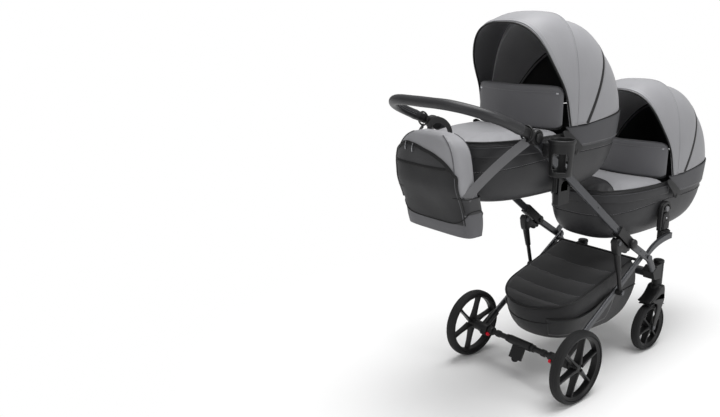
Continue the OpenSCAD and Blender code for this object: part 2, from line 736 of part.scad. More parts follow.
// Changing bag: sections from bottom to top as [height share, middle y, depth share, width share]
bag_sections = [
    [0, 49, 0.86, 0.96], [0.03, 47, 0.92, 0.99], [0.16, 42, 1, 1], [0.3, 30, 1.02, 1], [0.5, 0, 1, 1],
    [0.7, -7, 0.98, 0.98], [0.84, -8, 0.97, 0.9], [0.93, -8, 0.88, 0.74], [0.98, -8, 0.68, 0.54],
    [1, -8, 0.4, 0.34]
];
bag_sides = 36;
function bag_ring(s) = [
    for (i = [0:bag_sides - 1])
        let (p = superellipse(bag_w / 2 * s[3], bag_d / 2 * s[2], 4.5, 360 * i / bag_sides))
        [bag_mid_x + p[0], bag_mid_y + s[1] + p[1], bag_bottom_z + (bag_top_z - bag_bottom_z) * s[0]]
];

module bag_body() color("#3a3a3c") loft([for (s = bag_sections) bag_ring(s)]);

module strap(p, q, w, t) hull() {
    translate(p) rotate([45, 0, 0]) cube([t, w * 0.6, 2], center = true);
    translate(q) rotate([45, 0, 0]) cube([t, w, 2], center = true);
}

module bag_straps() color("#6a6a6c") {
    ring_z = hook_top_z - hook_r;
    for (s = [-1, 1]) translate([s * arm_x, hook_y, ring_z]) rotate([90, 0, 0])
        rotate_extrude() translate([hook_r, 0]) circle(r = hook_wire_r, $fn = 24);
    strap_z = ring_z - hook_r - 6;
    for (s = [-1, 1]) strap(
        [s * arm_x, hook_y, strap_z],
        [bag_mid_x + s * (bag_w / 2 + 2.2), bag_mid_y + 4, bag_bottom_z + (s > 0 ? 150 : 190)], 24, 2.5
    );
}

// Carrycots, drawn where the rear cot stands
function cot_ring(s, grow, lift) = let (
    full = sqrt(max(0, 1 - pow(s, 2.2))),
    scale_ = cot_floor + (1 - cot_floor) * full,
    z = cot_rim_z + (cot_bottom_z - cot_rim_z) * s
) [
    for (i = [0:cot_sides - 1]) let (
        p = superellipse(cot_half_w + grow, cot_half_l + grow, cot_n, 360 * i / cot_sides)
    ) [p[0] * scale_, cot_mid_y + cot_floor_shift * s * s + p[1] * scale_, z + lift]
];
cot_levels = [1, 0.97, 0.9, 0.78, 0.62, 0.45, 0.28, 0.12, 0];

module cot_shell() color("#2e2e30") difference() {
    loft([for (s = cot_levels) cot_ring(s, 0, 0)]);
    loft([for (s = cot_levels) cot_ring(s, -cot_wall, s > 0 ? cot_wall : cot_wall + 1)]);
}

// Mattress: as wide as the tub at each height, with rounded edges, as [height share, inset]
mattress_levels = [[0, 8], [0.12, 2], [0.35, 0], [0.65, 0], [0.84, 7], [0.95, 22], [1, 52]];
module cot_mattress() color("whitesmoke") loft([
    for (m = mattress_levels) cot_ring(
        1 - mattress_h * m[0] / (cot_rim_z - cot_bottom_z), -cot_wall - 5 - m[1], cot_wall + seat_gap
    )
]);

// Padded cover over the foot half: rounded skirt round the rim and a crowned top
apron_levels = [[-0.55, 1], [0, 1], [0.35, 0.99], [0.62, 0.955], [0.82, 0.88], [0.93, 0.76], [1, 0.5]];
function apron_ring(level, grow, lift) = [
    for (i = [0:cot_sides - 1]) let (
        p = superellipse(cot_half_w + grow, cot_half_l + grow, cot_n, 360 * i / cot_sides)
    ) [p[0] * level[1], cot_mid_y + p[1] * level[1], cot_rim_z + lift + (apron_rise - 4) * level[0]]
];

module cot_apron() color("#77777a") difference() {
    intersection() {
        loft([for (m = apron_levels) apron_ring(m, 4, 4)]);
        translate([-cot_w, cot_foot_y - 50, 0]) cube([2 * cot_w, apron_end_y - cot_foot_y + 50, 2000]);
    }
    loft([for (m = apron_levels) apron_ring(m, 0.7, m[0] < 0 ? -2 : 0)]);
}

// Wind flap: a curved upright panel bowed towards the foot
module cot_flap() color("#77777a") let (
    bow_r = (flap_half_w * flap_half_w + flap_bow * flap_bow) / (2 * flap_bow),
    half_a = asin(flap_half_w / bow_r)
) translate([0, apron_end_y + 1 + bow_r, flap_z]) rotate([0, 0, 270 - half_a])
    rotate_extrude(angle = 2 * half_a, $fn = 180) translate([bow_r - flap_t, 0]) square([flap_t, flap_h]);

// Hood panel: an arch outline turned about the hood pivots between two angles
function arch(r, b, n) = [for (i = [0:hood_steps]) superellipse(r, b, n, -90 + 180 * i / hood_steps)];
module hood_outline(r, b, t) intersection() {
    polygon([each arch(r, b, hood_n), for (i = [hood_steps:-1:0]) arch(r - t, b - t, hood_n)[i]]);
    translate([hood_inner_r, -b]) square([r, 2 * b]);
}
module hood_turn(a) translate([0, hood_y, hood_z]) rotate([a, 0, 0]) rotate([90, 0, 90]) children();
module hood_panel(r, b, t, a) hood_turn(a[0])
    rotate_extrude(angle = a[1] - a[0], $fn = 180) hood_outline(r, b, t);

// Two side arms that carry a hood panel on its pivots
module hood_arms(b, a) both_sides() difference() {
    hood_turn(a) {
        translate([0, -hood_arm_w / 2, b - hood_t]) cube([hood_inner_r + 20, hood_arm_w, hood_t * 0.55]);
        translate([0, 0, b - hood_t]) cylinder(r = 13, h = hood_t * 0.55);
    }
    across([hood_y, hood_z], b - hood_t - 1, b + 1, hood_pin_r + run_gap);
}

module cot_hood_front() color("#808083") {
    hood_panel(hood_front_r, hood_front_b, hood_t, hood_front_a);
    hood_arms(hood_front_b, (hood_front_a[0] + hood_front_a[1]) / 2);
}

module cot_hood_mid() color("#808083") {
    hood_panel(hood_mid_r, hood_mid_b, hood_t, hood_mid_a);
    hood_arms(hood_mid_b, (hood_mid_a[0] + hood_mid_a[1]) / 2);
}

band_front_y = -62;
// Slanting top edge of the band, from the front to the head end
band_top = [
    [band_front_y - 5, cot_rim_z + 60], hood_rear_mid - [6, 4], [cot_head_y + 60, hood_rear_end[1]]
];
// Space above the top edge of the band
module above_band(gap) side_plate(-cot_w, cot_w) polygon([
    for (p = band_top) p + [0, gap], [cot_head_y + 60, 2000], [band_front_y - 5, 2000]
]);

// Rear panel: the arch outline moved in to turn about its own middle
module hood_rear_panel() translate([0, hood_rear_mid[0], hood_rear_mid[1]]) rotate([hood_rear_a - 56, 0, 0])
    rotate([90, 0, 90]) rotate_extrude(angle = 56, $fn = 180) intersection() {
        translate([hood_rear_bow - hood_rear_r, 0]) polygon([
            each arch(hood_rear_r, band_out, hood_n),
            for (i = [hood_steps:-1:0]) arch(hood_rear_r - hood_t, band_out - hood_t, hood_n)[i]
        ]);
        translate([0, -band_out]) square([hood_rear_bow + 1, 2 * band_out]);
    }

module cot_hood_base() color("#4a4a4d") {
    difference() {
        translate([0, cot_mid_y, cot_rim_z - 16]) linear_extrude(110) difference() {
            polygon([for (i = [0:59]) superellipse(band_out, cot_half_l + 4, cot_n, 6 * i)]);
            polygon([for (i = [0:59]) superellipse(band_in, cot_half_l + 0.6, cot_n, 6 * i)]);
            translate([-cot_w, -cot_half_l - 50])
                square([2 * cot_w, cot_half_l + 50 + band_front_y - cot_mid_y]);
        }
        above_band(0);
    }
    intersection() {
        hood_rear_panel();
        above_band(seat_gap);
    }
    both_sides() {
        across([hood_y, hood_z], cot_half_w + seat_gap, hood_front_b + 1, hood_pin_r);
        across([hood_y, hood_z], hood_front_b + seat_gap, hood_front_b + 2, 9);
    }
}

module latch_outline(w, h) {
    translate([-w / 2, 0]) square([w, h - w / 2]);
    translate([0, h - w / 2]) circle(d = w);
}

// Arch-shaped side latches that hook over the adapter tongues
module cot_latches() color("black") both_sides() difference() {
    slot_x = (latch_in + latch_out - tongue_t) / 2 - seat_gap;
    side_plate(latch_in - 20, latch_out) translate([latch_y, latch_z]) latch_outline(latch_w, latch_h);
    loft([for (s = cot_levels) cot_ring(s, seat_gap, s > 0 ? 0 : 1)]);
    translate([slot_x, latch_y - latch_w, latch_z - 1])
        cube([tongue_t + 2 * seat_gap, 2 * latch_w, tongue_h]);
    side_plate(latch_out - 5, latch_out + 1) translate([latch_y, latch_z + latch_h - 46])
        latch_outline(latch_w - 24, 34);
    across([latch_y, latch_z + latch_h - 28], latch_in - 30, latch_out, 4 + run_gap);
}

module latch_release() {
    p = [latch_y, latch_z + latch_h - 28];
    across(p, latch_out - 1.5, latch_out + 3, release_r);
    across(p, latch_in + 4, latch_out, 4);
}

module upper_shell() cot_shell();
module upper_mattress() cot_mattress();
module upper_apron() cot_apron();
module upper_hood_base() cot_hood_base();
module upper_hood_mid() cot_hood_mid();
module upper_hood_front() cot_hood_front();
module upper_flap() cot_flap();
module upper_latches() cot_latches();
module upper_release_right() color("gray") latch_release();
module upper_release_left() color("gray") mirror([1, 0, 0]) latch_release();
module lower_shell() translate(cot_step) cot_shell();
module lower_mattress() translate(cot_step) cot_mattress();
module lower_apron() translate(cot_step) cot_apron();
module lower_hood_base() translate(cot_step) cot_hood_base();
module lower_hood_mid() translate(cot_step) cot_hood_mid();
module lower_hood_front() translate(cot_step) cot_hood_front();
module lower_flap() translate(cot_step) cot_flap();
module lower_latches() translate(cot_step) cot_latches();
module lower_release_right() color("gray") translate(cot_step) latch_release();
module lower_release_left() color("gray") translate(cot_step) mirror([1, 0, 0]) latch_release();

front_tubes();
hinge_brackets();
hinge_pins();
front_cross_bar();
swivel_housings();
rear_legs();
frame_bolts();
brace_sleeves();
brace_rods();
rear_axle();
axle_castings();
cot_arms();
lower_adapters();
basket_rod();
basket_tub();
basket_lid();
brake_pedal();
wheel_release_left();
wheel_release_right();
rear_tyre_left();
rear_tyre_right();
rear_rim_left();
rear_rim_right();
fork_left();
fork_right();
front_tyre_left();
front_tyre_right();
front_rim_left();
front_rim_right();
upper_tubes();
fold_brackets();
upper_adapters();
cup_holder();
handle_hubs();
handle_bar();
handle_grip();
handle_button_left();
handle_button_right();
bag_body();
bag_straps();
upper_shell();
upper_mattress();
upper_apron();
upper_hood_base();
upper_hood_mid();
upper_hood_front();
upper_flap();
upper_latches();
upper_release_left();
upper_release_right();
lower_shell();
lower_mattress();
lower_apron();
lower_hood_base();
lower_hood_mid();
lower_hood_front();
lower_flap();
lower_latches();
lower_release_left();
lower_release_right();
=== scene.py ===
"""Looks of the twin pram: soft goods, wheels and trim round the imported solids."""

from __future__ import annotations

import json
import logging
import math
from dataclasses import dataclass
from enum import Enum
from typing import Optional, Sequence

import bmesh
import bpy
import numpy as np
from mathutils import Matrix, Vector
from mathutils.bvhtree import BVHTree

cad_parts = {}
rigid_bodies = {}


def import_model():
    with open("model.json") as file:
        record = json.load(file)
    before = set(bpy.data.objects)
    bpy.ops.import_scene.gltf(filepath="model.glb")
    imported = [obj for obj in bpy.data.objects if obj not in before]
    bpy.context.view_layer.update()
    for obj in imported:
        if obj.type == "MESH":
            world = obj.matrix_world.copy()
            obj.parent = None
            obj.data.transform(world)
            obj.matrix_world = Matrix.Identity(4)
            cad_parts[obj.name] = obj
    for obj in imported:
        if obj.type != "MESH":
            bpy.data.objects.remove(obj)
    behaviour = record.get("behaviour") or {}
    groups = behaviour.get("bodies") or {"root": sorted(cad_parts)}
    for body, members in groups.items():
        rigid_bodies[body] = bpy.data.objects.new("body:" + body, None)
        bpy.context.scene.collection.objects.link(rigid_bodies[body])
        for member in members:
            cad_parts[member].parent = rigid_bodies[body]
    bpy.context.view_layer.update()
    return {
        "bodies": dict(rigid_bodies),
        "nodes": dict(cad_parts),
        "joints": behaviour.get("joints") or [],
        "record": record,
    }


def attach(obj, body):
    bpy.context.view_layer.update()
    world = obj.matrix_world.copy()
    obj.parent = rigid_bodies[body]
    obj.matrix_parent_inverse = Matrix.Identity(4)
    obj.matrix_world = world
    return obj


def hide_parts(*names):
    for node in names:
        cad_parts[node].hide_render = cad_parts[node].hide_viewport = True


LOG = logging.getLogger("twin_pram")
Array = np.ndarray
Item = bpy.types.Object
# Shapes are worked out in millimetres, and meshes are in metres.
MM = 0.001
# Corners of a cell in a grid, as steps of row and column.
CELL = ((0, 0), (0, 1), (1, 1), (1, 0))


class Side(Enum):
    """Side of the pram, as the sign of X."""

    LEFT = -1
    RIGHT = 1

    @property
    def word(self) -> str:
        """Name of the side as the solids spell it."""
        return self.name.lower()


class Pattern(Enum):
    """How the surface of a material was made."""

    GRAIN = "leather grain pressed into a coated cloth"
    MOULD = "spark-eroded mould texture"
    COAT = "powder coat with a slight orange peel"
    WEAVE = "plain weave"
    RIBS = "ribs of a woven strap"
    DRAWN = "drawn or turned metal"
    RUBBER = "moulded foam rubber"


def linear(code: str) -> tuple[float, float, float, float]:
    """Turns an sRGB hex colour into linear values.

    Args:
        code: Colour as #rrggbb.

    Returns:
        Red, green, blue and an alpha of one.
    """
    srgb = np.array([int(code[k:k + 2], 16) for k in (1, 3, 5)]) / 255
    light = np.where(srgb <= 0.04045, srgb / 12.92, ((srgb + 0.055) / 1.055) ** 2.4)
    return (float(light[0]), float(light[1]), float(light[2]), 1.0)


def add_node(
    tree: bpy.types.NodeTree,
    kind: str,
    values: Optional[dict] = None,
    links: Optional[dict] = None,
    **settings: object,
) -> bpy.types.Node:
    """Adds a node with its settings, values and links.

    Args:
        tree: Node tree that takes the node.
        kind: Type name of the node.
        values: Input name or number to value.
        links: Input name or number to the output that feeds it.
        **settings: Attributes of the node.

    Returns:
        The new node.
    """
    node = tree.nodes.new(kind)
    for key, value in settings.items():
        setattr(node, key, value)
    for key, value in (values or {}).items():
        node.inputs[key].default_value = value
    for key, socket in (links or {}).items():
        tree.links.new(socket, node.inputs[key])
    return node


@dataclass(frozen=True)
class Finish:
    """A real material: its colour, how its surface was made, and its gloss."""

    name: str
    colour: str
    pattern: Pattern
    pitch_mm: float
    roughness: float
    relief_mm: float = 0.25
    vary: float = 0.10
    metallic: float = 0.0
    sheen: float = 0.0
    coat: float = 0.0
    crease_mm: float = 0.0
    specular: float = 0.35

    def _height(self, tree: bpy.types.NodeTree) -> bpy.types.NodeSocket:
        """Builds the relief of the surface, as a height from 0 to 1.

        Args:
            tree: Node tree of the material.

        Returns:
            Output that carries the height.
        """
        place = add_node(tree, "ShaderNodeTexCoord")
        per_metre = 1.0 / (self.pitch_mm * MM)
        if self.pattern is Pattern.GRAIN:
            cells = add_node(tree, "ShaderNodeTexVoronoi", {"Scale": per_metre, "Randomness": 0.9},
                             {"Vector": place.outputs["Object"]}, feature="SMOOTH_F1")
            return cells.outputs["Distance"]
        if self.pattern in (Pattern.WEAVE, Pattern.RIBS):
            # A wave texture has a period of pi over ten times its scale.
            scale = per_metre * math.pi / 10
            source = place.outputs["UV"]
            warp = add_node(tree, "ShaderNodeTexWave", {"Scale": scale}, {"Vector": source},
                            bands_direction="Y")
            if self.pattern is Pattern.RIBS:
                return warp.outputs["Fac"]
            weft = add_node(tree, "ShaderNodeTexWave", {"Scale": scale}, {"Vector": source},
                            bands_direction="X")
            both = add_node(tree, "ShaderNodeMath", None,
                            {0: warp.outputs["Fac"], 1: weft.outputs["Fac"]}, operation="MAXIMUM")
            return both.outputs["Value"]
        detail = 6.0 if self.pattern is Pattern.DRAWN else 3.0
        noise = add_node(tree, "ShaderNodeTexNoise", {"Scale": per_metre, "Detail": detail},
                         {"Vector": place.outputs["Object"]})
        return noise.outputs["Fac"]

    def material(self) -> bpy.types.Material:
        """Gives the material, made on first use.

        Returns:
            The material named for this finish.
        """
        made = bpy.data.materials.get(self.name)
        if made:
            return made
        made = bpy.data.materials.new(self.name)
        made.use_nodes = True
        tree = made.node_tree
        shader = tree.nodes["Principled BSDF"]
        place = add_node(tree, "ShaderNodeTexCoord")
        # Patches about 90 mm across, where handling and light have changed the tone.
        patches = add_node(tree, "ShaderNodeTexNoise", {"Scale": 11.0, "Detail": 4.0},
                           {"Vector": place.outputs["Object"]})
        tone = np.array(linear(self.colour))
        dark, pale = tone * (1 - self.vary), np.minimum(tone * (1 + self.vary), 1.0)
        dark[3] = pale[3] = 1.0
        shade = add_node(tree, "ShaderNodeMix", {6: tuple(dark), 7: tuple(pale)},
                         {0: patches.outputs["Fac"]}, data_type="RGBA")
        tree.links.new(shade.outputs[2], shader.inputs["Base Color"])
        gloss = add_node(tree, "ShaderNodeMapRange",
                         {"To Min": self.roughness - 0.06, "To Max": self.roughness + 0.06},
                         {"Value": patches.outputs["Fac"]})
        tree.links.new(gloss.outputs["Result"], shader.inputs["Roughness"])
        shader.inputs["Metallic"].default_value = self.metallic
        shader.inputs["Sheen Weight"].default_value = self.sheen
        shader.inputs["Coat Weight"].default_value = self.coat
        shader.inputs["Specular IOR Level"].default_value = self.specular
        bump = add_node(tree, "ShaderNodeBump", {"Strength": 0.5, "Distance": self.relief_mm * MM},
                        {"Height": self._height(tree)})
        if self.crease_mm > 0:
            folds = add_node(tree, "ShaderNodeTexNoise", {"Scale": 16.0, "Detail": 2.0},
                             {"Vector": place.outputs["Object"]})
            bump = add_node(tree, "ShaderNodeBump", {"Strength": 0.4, "Distance": self.crease_mm * MM},
                            {"Height": folds.outputs["Fac"], "Normal": bump.outputs["Normal"]})
        tree.links.new(bump.outputs["Normal"], shader.inputs["Normal"])
        return made


# Coated cloth: a soft grey shine broken by pressed grain, with slow creases where the cloth is slack. The
# real grain of about 1 mm is drawn at 2.5 to 3.6 mm so that it shows.
HOOD_GREY = Finish("grey_leatherette_embossed", "#868689", Pattern.GRAIN, 3.6, 0.50, 0.30, 0.07,
                   sheen=0.1, crease_mm=2.0)
# The flap is the hood's grey leatherette, drawn darker with painted shade for the upright flap, which lies in
# shade.
FLAP_SHADED_GREY = Finish("mid_grey_leatherette_embossed", "#606063", Pattern.GRAIN, 3.6, 0.48, 0.30, 0.08,
                   sheen=0.1, crease_mm=2.5)
BAND_GREY = Finish("dark_grey_leatherette_embossed", "#414144", Pattern.GRAIN, 3.6, 0.50, 0.30, 0.08,
                   crease_mm=1.5)
TUB_CHARCOAL = Finish("charcoal_leatherette_embossed", "#29292b", Pattern.GRAIN, 3.6, 0.46, 0.35, 0.10,
                      crease_mm=2.0)
BAG_GREY = Finish("grey_bag_leatherette_embossed", "#8d8d90", Pattern.GRAIN, 3.2, 0.46, 0.30, 0.08,
                  crease_mm=2.5)
BAG_BASE = Finish("slate_bag_leatherette_embossed", "#565659", Pattern.GRAIN, 3.2, 0.46, 0.30, 0.08,
                  crease_mm=2.0)
# The same cloth drawn tight round the grip and over piping cord: darker, with short bright highlights.
GRIP_BLACK = Finish("black_leatherette_stitched", "#2b2b2d", Pattern.GRAIN, 3.0, 0.42, 0.30, 0.12)
PIPING_BLACK = Finish("black_piping_coated", "#121213", Pattern.GRAIN, 2.5, 0.50, 0.20, 0.10)
# Woven linings: matt, with a faint pale bloom at grazing angles. Threads of 0.5 mm are drawn at 4 mm.
LINING_BLACK = Finish("black_polyester_lining_woven", "#1d1d1f", Pattern.WEAVE, 4.0, 0.85, 0.30, 0.12,
                      sheen=0.3)
LINING_GREY = Finish("grey_polyester_lining_woven", "#a0a0a3", Pattern.WEAVE, 4.0, 0.80, 0.30, 0.10,
                     sheen=0.3)
# The grey lining again, drawn darker with painted shade, for the inside of the hood's front panel.
LINING_SHADED_GREY = Finish("dark_grey_polyester_lining_woven", "#525255", Pattern.WEAVE, 4.0, 0.80, 0.30, 0.10,
                     sheen=0.3)
# Stout polyester of the basket and the bag: a dull weave with soft folds, drawn at 4 to 4.5 mm.
BASKET_BLACK = Finish("black_polyester_woven", "#1b1b1d", Pattern.WEAVE, 4.5, 0.72, 0.35, 0.12,
                      sheen=0.25, crease_mm=3.0)
BAG_DARK = Finish("dark_grey_polyester_woven", "#2c2c2e", Pattern.WEAVE, 4.0, 0.66, 0.35, 0.10,
                  sheen=0.2, crease_mm=3.0)
BAG_BLACK = Finish("black_bag_polyester_woven", "#1b1b1d", Pattern.WEAVE, 4.0, 0.66, 0.35, 0.10,
                   sheen=0.15, crease_mm=3.0)
# Zips and webbing: ribs across the length that catch the light in turn.
ZIP_BLACK = Finish("black_nylon_zip_moulded", "#0f0f10", Pattern.RIBS, 3.2, 0.48, 0.80, 0.10)
STRAP_GREY = Finish("grey_nylon_webbing_woven", "#626264", Pattern.RIBS, 3.0, 0.62, 0.60, 0.08, sheen=0.2)
STRAP_BLACK = Finish("black_nylon_webbing_woven", "#1e1e1f", Pattern.RIBS, 3.0, 0.62, 0.60, 0.10, sheen=0.2)
# Quilted cotton: chalky and soft, with shallow dents.
MATTRESS = Finish("off_white_cotton_quilted", "#d9d7d2", Pattern.WEAVE, 5.0, 0.85, 0.50, 0.05,
                  sheen=0.3, crease_mm=3.0)
# Twisted thread: a pale dotted line.
THREAD = Finish("grey_polyester_thread", "#8a8a8c", Pattern.MOULD, 1.5, 0.60, 0.05, 0.05)
# Powder coat on tube: dark and satin, with a metallic lift along the edges.
TUBE_GRAPHITE = Finish("graphite_powder_coated_aluminium", "#46474a", Pattern.COAT, 4.0, 0.36, 0.06, 0.06,
                       metallic=0.55, coat=0.15)
METAL_BLACK = Finish("black_powder_coated_steel", "#1a1a1b", Pattern.COAT, 4.0, 0.40, 0.06, 0.08,
                     metallic=0.2, coat=0.1)
# Moulded plastics: fine mould texture with broad, soft highlights. The texture is drawn at 2.4 mm.
PLASTIC_BLACK = Finish("black_polyamide_moulded", "#171718", Pattern.MOULD, 2.4, 0.47, 0.12, 0.10)
PLASTIC_GREY = Finish("grey_abs_moulded", "#6a6a6d", Pattern.MOULD, 2.4, 0.40, 0.10, 0.08)
PLASTIC_RED = Finish("red_abs_moulded", "#d0142c", Pattern.MOULD, 2.4, 0.32, 0.06, 0.06)
RIM_BLACK = Finish("black_glass_filled_nylon_moulded", "#131314", Pattern.MOULD, 2.4, 0.42, 0.12, 0.10)
# Foam rubber: almost black and dull, with a dusty mottle.
TYRE_BLACK = Finish("black_foam_rubber_moulded", "#171718", Pattern.RUBBER, 3.0, 0.68, 0.30, 0.12)
# Plated steel: a bright or smoked mirror, blurred by the marks of turning.
BOLT_DARK = Finish("black_zinc_plated_steel_turned", "#57585b", Pattern.DRAWN, 1.6, 0.34, 0.03, 0.08,
                   metallic=0.9)
STEEL = Finish("zinc_plated_steel_turned", "#b9babd", Pattern.DRAWN, 1.6, 0.28, 0.03, 0.06, metallic=1.0)

# Points of the frame in the side plane, as y and z in mm, and what lies on both sides of the pram.
FOLD_HINGE = (350.0, 536.0)
HANDLE_PIVOT = (-274.0, 1016.0)
FRONT_BEND = (507.0, 438.0)
TUBE_FACE = 225.2
REAR_WHEEL = (257.5, 0.0, 141.0)
FRONT_WHEEL = (185.0, 608.0, 105.0)
FORK_TRAIL = 40.0
UP = (0.0, 0.0, 1.0)
ALONG_X = (1.0, 0.0, 0.0)


def unit(vectors: Array) -> Array:
    """Scales vectors along the last axis to a length of one."""
    return vectors / np.maximum(np.linalg.norm(vectors, axis=-1, keepdims=True), 1e-9)


def superellipse(a: float, b: float, n: float, t: Array) -> Array:
    """Points of a superellipse: half sizes times powers of the cosine and sine.

    Args:
        a: Half size across.
        b: Half size along.
        n: Exponent; two is an ellipse.
        t: Angles in radians.

    Returns:
        Points with two columns.
    """
    c, s = np.cos(t), np.sin(t)
    return np.stack([a * np.sign(c) * np.abs(c) ** (2 / n), b * np.sign(s) * np.abs(s) ** (2 / n)], -1)


def evenly(path: Array, count: int, closed: bool = False) -> Array:
    """Resamples a path at equal steps of its length.

    Args:
        path: Points of the path.
        count: Number of points wanted.
        closed: Whether the last point runs on to the first.

    Returns:
        The new points.
    """
    line = np.concatenate([path, path[:1]]) if closed else path
    run = np.concatenate([[0.0], np.cumsum(np.linalg.norm(np.diff(line, axis=0), axis=1))])
    want = np.linspace(0, run[-1], count + 1)[:-1] if closed else np.linspace(0, run[-1], count)
    return np.stack([np.interp(want, run, line[:, k]) for k in range(line.shape[1])], -1)


def ring(a: float, b: float, n: float, count: int) -> Array:
    """Superellipse as a closed ring of evenly spaced points."""
    return evenly(superellipse(a, b, n, np.linspace(0, 2 * np.pi, 1440, endpoint=False)), count, True)


def soften(outline: Array, times: int = 3) -> Array:
    """Rounds a closed outline by cutting each corner a quarter of the way, several times.

    Args:
        outline: Points of the outline.
        times: How often the corners are cut.

    Returns:
        The rounder outline.
    """
    for _ in range(times):
        after = np.roll(outline, -1, axis=0)
        outline = np.stack([0.75 * outline + 0.25 * after, 0.25 * outline + 0.75 * after], 1)
        outline = outline.reshape(-1, outline.shape[-1])
    return outline


def bezier(points: Sequence[Sequence[float]], count: int) -> Array:
    """Curve of Bernstein weights over control points, evenly spaced.

    Args:
        points: Control points.
        count: Number of points wanted.

    Returns:
        Points of the curve.
    """
    ctrl = np.array(points, float)
    order = len(ctrl) - 1
    u = np.linspace(0, 1, 200)[:, None]
    k = np.arange(order + 1)[None, :]
    choose = np.array([math.comb(order, i) for i in range(order + 1)], float)
    return evenly((choose * u ** k * (1 - u) ** (order - k)) @ ctrl, count)


def to_item(name: str, mesh: bpy.types.Mesh, inside: Optional[Sequence[float]], sharp: float) -> Item:
    """Closes seams and poles, turns faces outwards and links an object.

    Args:
        name: Name of the piece.
        mesh: Its mesh, in metres.
        inside: Point in mm that an open sheet faces away from, or None for a closed shape.
        sharp: Angle in degrees above which an edge stays sharp.

    Returns:
        The new object, at the origin.
    """
    work = bmesh.new()
    work.from_mesh(mesh)
    bmesh.ops.remove_doubles(work, verts=work.verts, dist=1e-6)
    if inside is None:
        bmesh.ops.recalc_face_normals(work, faces=work.faces)
    work.to_mesh(mesh)
    work.free()
    if inside is not None:
        count = len(mesh.polygons)
        normal, middle = np.zeros(count * 3), np.zeros(count * 3)
        mesh.polygons.foreach_get("normal", normal)
        mesh.polygons.foreach_get("center", middle)
        away = middle.reshape(-1, 3) - np.array(inside) * MM
        if (away * normal.reshape(-1, 3)).sum() < 0:
            mesh.flip_normals()
    mesh.shade_smooth()
    mesh.set_sharp_from_angle(angle=math.radians(sharp))
    item = bpy.data.objects.new(name, mesh)
    bpy.context.scene.collection.objects.link(item)
    return item


def lattice(rows: int, cols: int, wrap_rows: bool, wrap_cols: bool) -> tuple[Array, Array, Array]:
    """Numbers the cells of a grid of points and their corners.

    Args:
        rows: Rows of points.
        cols: Columns of points.
        wrap_rows: Whether the last row joins the first.
        wrap_cols: Whether the last column joins the first.

    Returns:
        Row and column of each cell, and the numbers of its four corners.
    """
    i, j = np.meshgrid(np.arange(rows if wrap_rows else rows - 1),
                       np.arange(cols if wrap_cols else cols - 1), indexing="ij")
    return i, j, np.stack([(i + p) % rows * cols + (j + q) % cols for p, q in CELL], -1)


def surface(
    name: str,
    grid: Array,
    wrap_rows: bool = False,
    wrap_cols: bool = False,
    caps: bool = False,
    inside: Optional[Sequence[float]] = None,
    sharp: float = 50.0,
) -> Item:
    """Makes a mesh of a grid of points, with a map in metres of its own lengths.

    Args:
        name: Name of the piece.
        grid: Points in mm, as rows by columns by three.
        wrap_rows: Whether the last row joins the first.
        wrap_cols: Whether the last column joins the first.
        caps: Whether the first and last rows are closed with a face.
        inside: Point that an open sheet faces away from, or None for a closed shape.
        sharp: Angle in degrees above which an edge stays sharp.

    Returns:
        The new object.
    """
    rows, cols = grid.shape[:2]
    i, j, corners = lattice(rows, cols, wrap_rows, wrap_cols)
    faces = corners.reshape(-1, 4).tolist()
    if caps:
        faces.append(list(range(cols))[::-1])
        faces.append(list(range((rows - 1) * cols, rows * cols)))
    mesh = bpy.data.meshes.new(name)
    mesh.from_pydata((grid.reshape(-1, 3) * MM).tolist(), [], faces)
    across = np.linalg.norm(np.roll(grid, -1, axis=1) - grid, axis=-1).mean(0)
    along = np.linalg.norm(np.roll(grid, -1, axis=0) - grid, axis=-1).mean(1)
    u = np.concatenate([[0], np.cumsum(across)]) * MM
    v = np.concatenate([[0], np.cumsum(along)]) * MM
    spots = np.stack([np.stack([u[j + q], v[i + p]], -1) for p, q in CELL], 2).reshape(-1, 2)
    flat = np.zeros((len(mesh.loops), 2))
    flat[:len(spots)] = spots
    mesh.uv_layers.new(name="cloth").data.foreach_set("uv", flat.ravel())
    return to_item(name, mesh, inside, sharp)


def round_profile(radius: float, count: int = 12) -> Array:
    """Circle of points for a piping or tube."""
    t = np.linspace(0, 2 * np.pi, count, endpoint=False)
    return radius * np.stack([np.cos(t), np.sin(t)], -1)


def flat_profile(width: float, thick: float, count: int = 20) -> Array:
    """Flat band with rounded edges, as a superellipse of exponent five."""
    return superellipse(width / 2, thick / 2, 5, np.linspace(0, 2 * np.pi, count, endpoint=False))


def sweep(
    name: str,
    path: Array,
    profile: Array,
    up: Sequence[float] | Array,
    closed: bool = False,
    scale: Optional[Array] = None,
) -> Item:
    """Carries a profile along a path: side is tangent cross up, top is side cross tangent.

    Args:
        name: Name of the piece.
        path: Points in mm.
        profile: Points across the path, as side and top distances.
        up: Direction, or one for each point, that is never along the path.
        closed: Whether the path is a loop.
        scale: Size of the profile at each point.

    Returns:
        The new closed object.
    """
    step = np.roll(path, -1, 0) - np.roll(path, 1, 0) if closed else np.gradient(path, axis=0)
    ahead = unit(step)
    side = unit(np.cross(ahead, np.broadcast_to(np.array(up, float), path.shape)))
    top = np.cross(side, ahead)
    size = np.ones(len(path)) if scale is None else scale
    shape = profile[None] * size[:, None, None]
    grid = path[:, None] + side[:, None] * shape[..., :1] + top[:, None] * shape[..., 1:]
    return surface(name, grid, wrap_rows=closed, wrap_cols=True, caps=not closed)


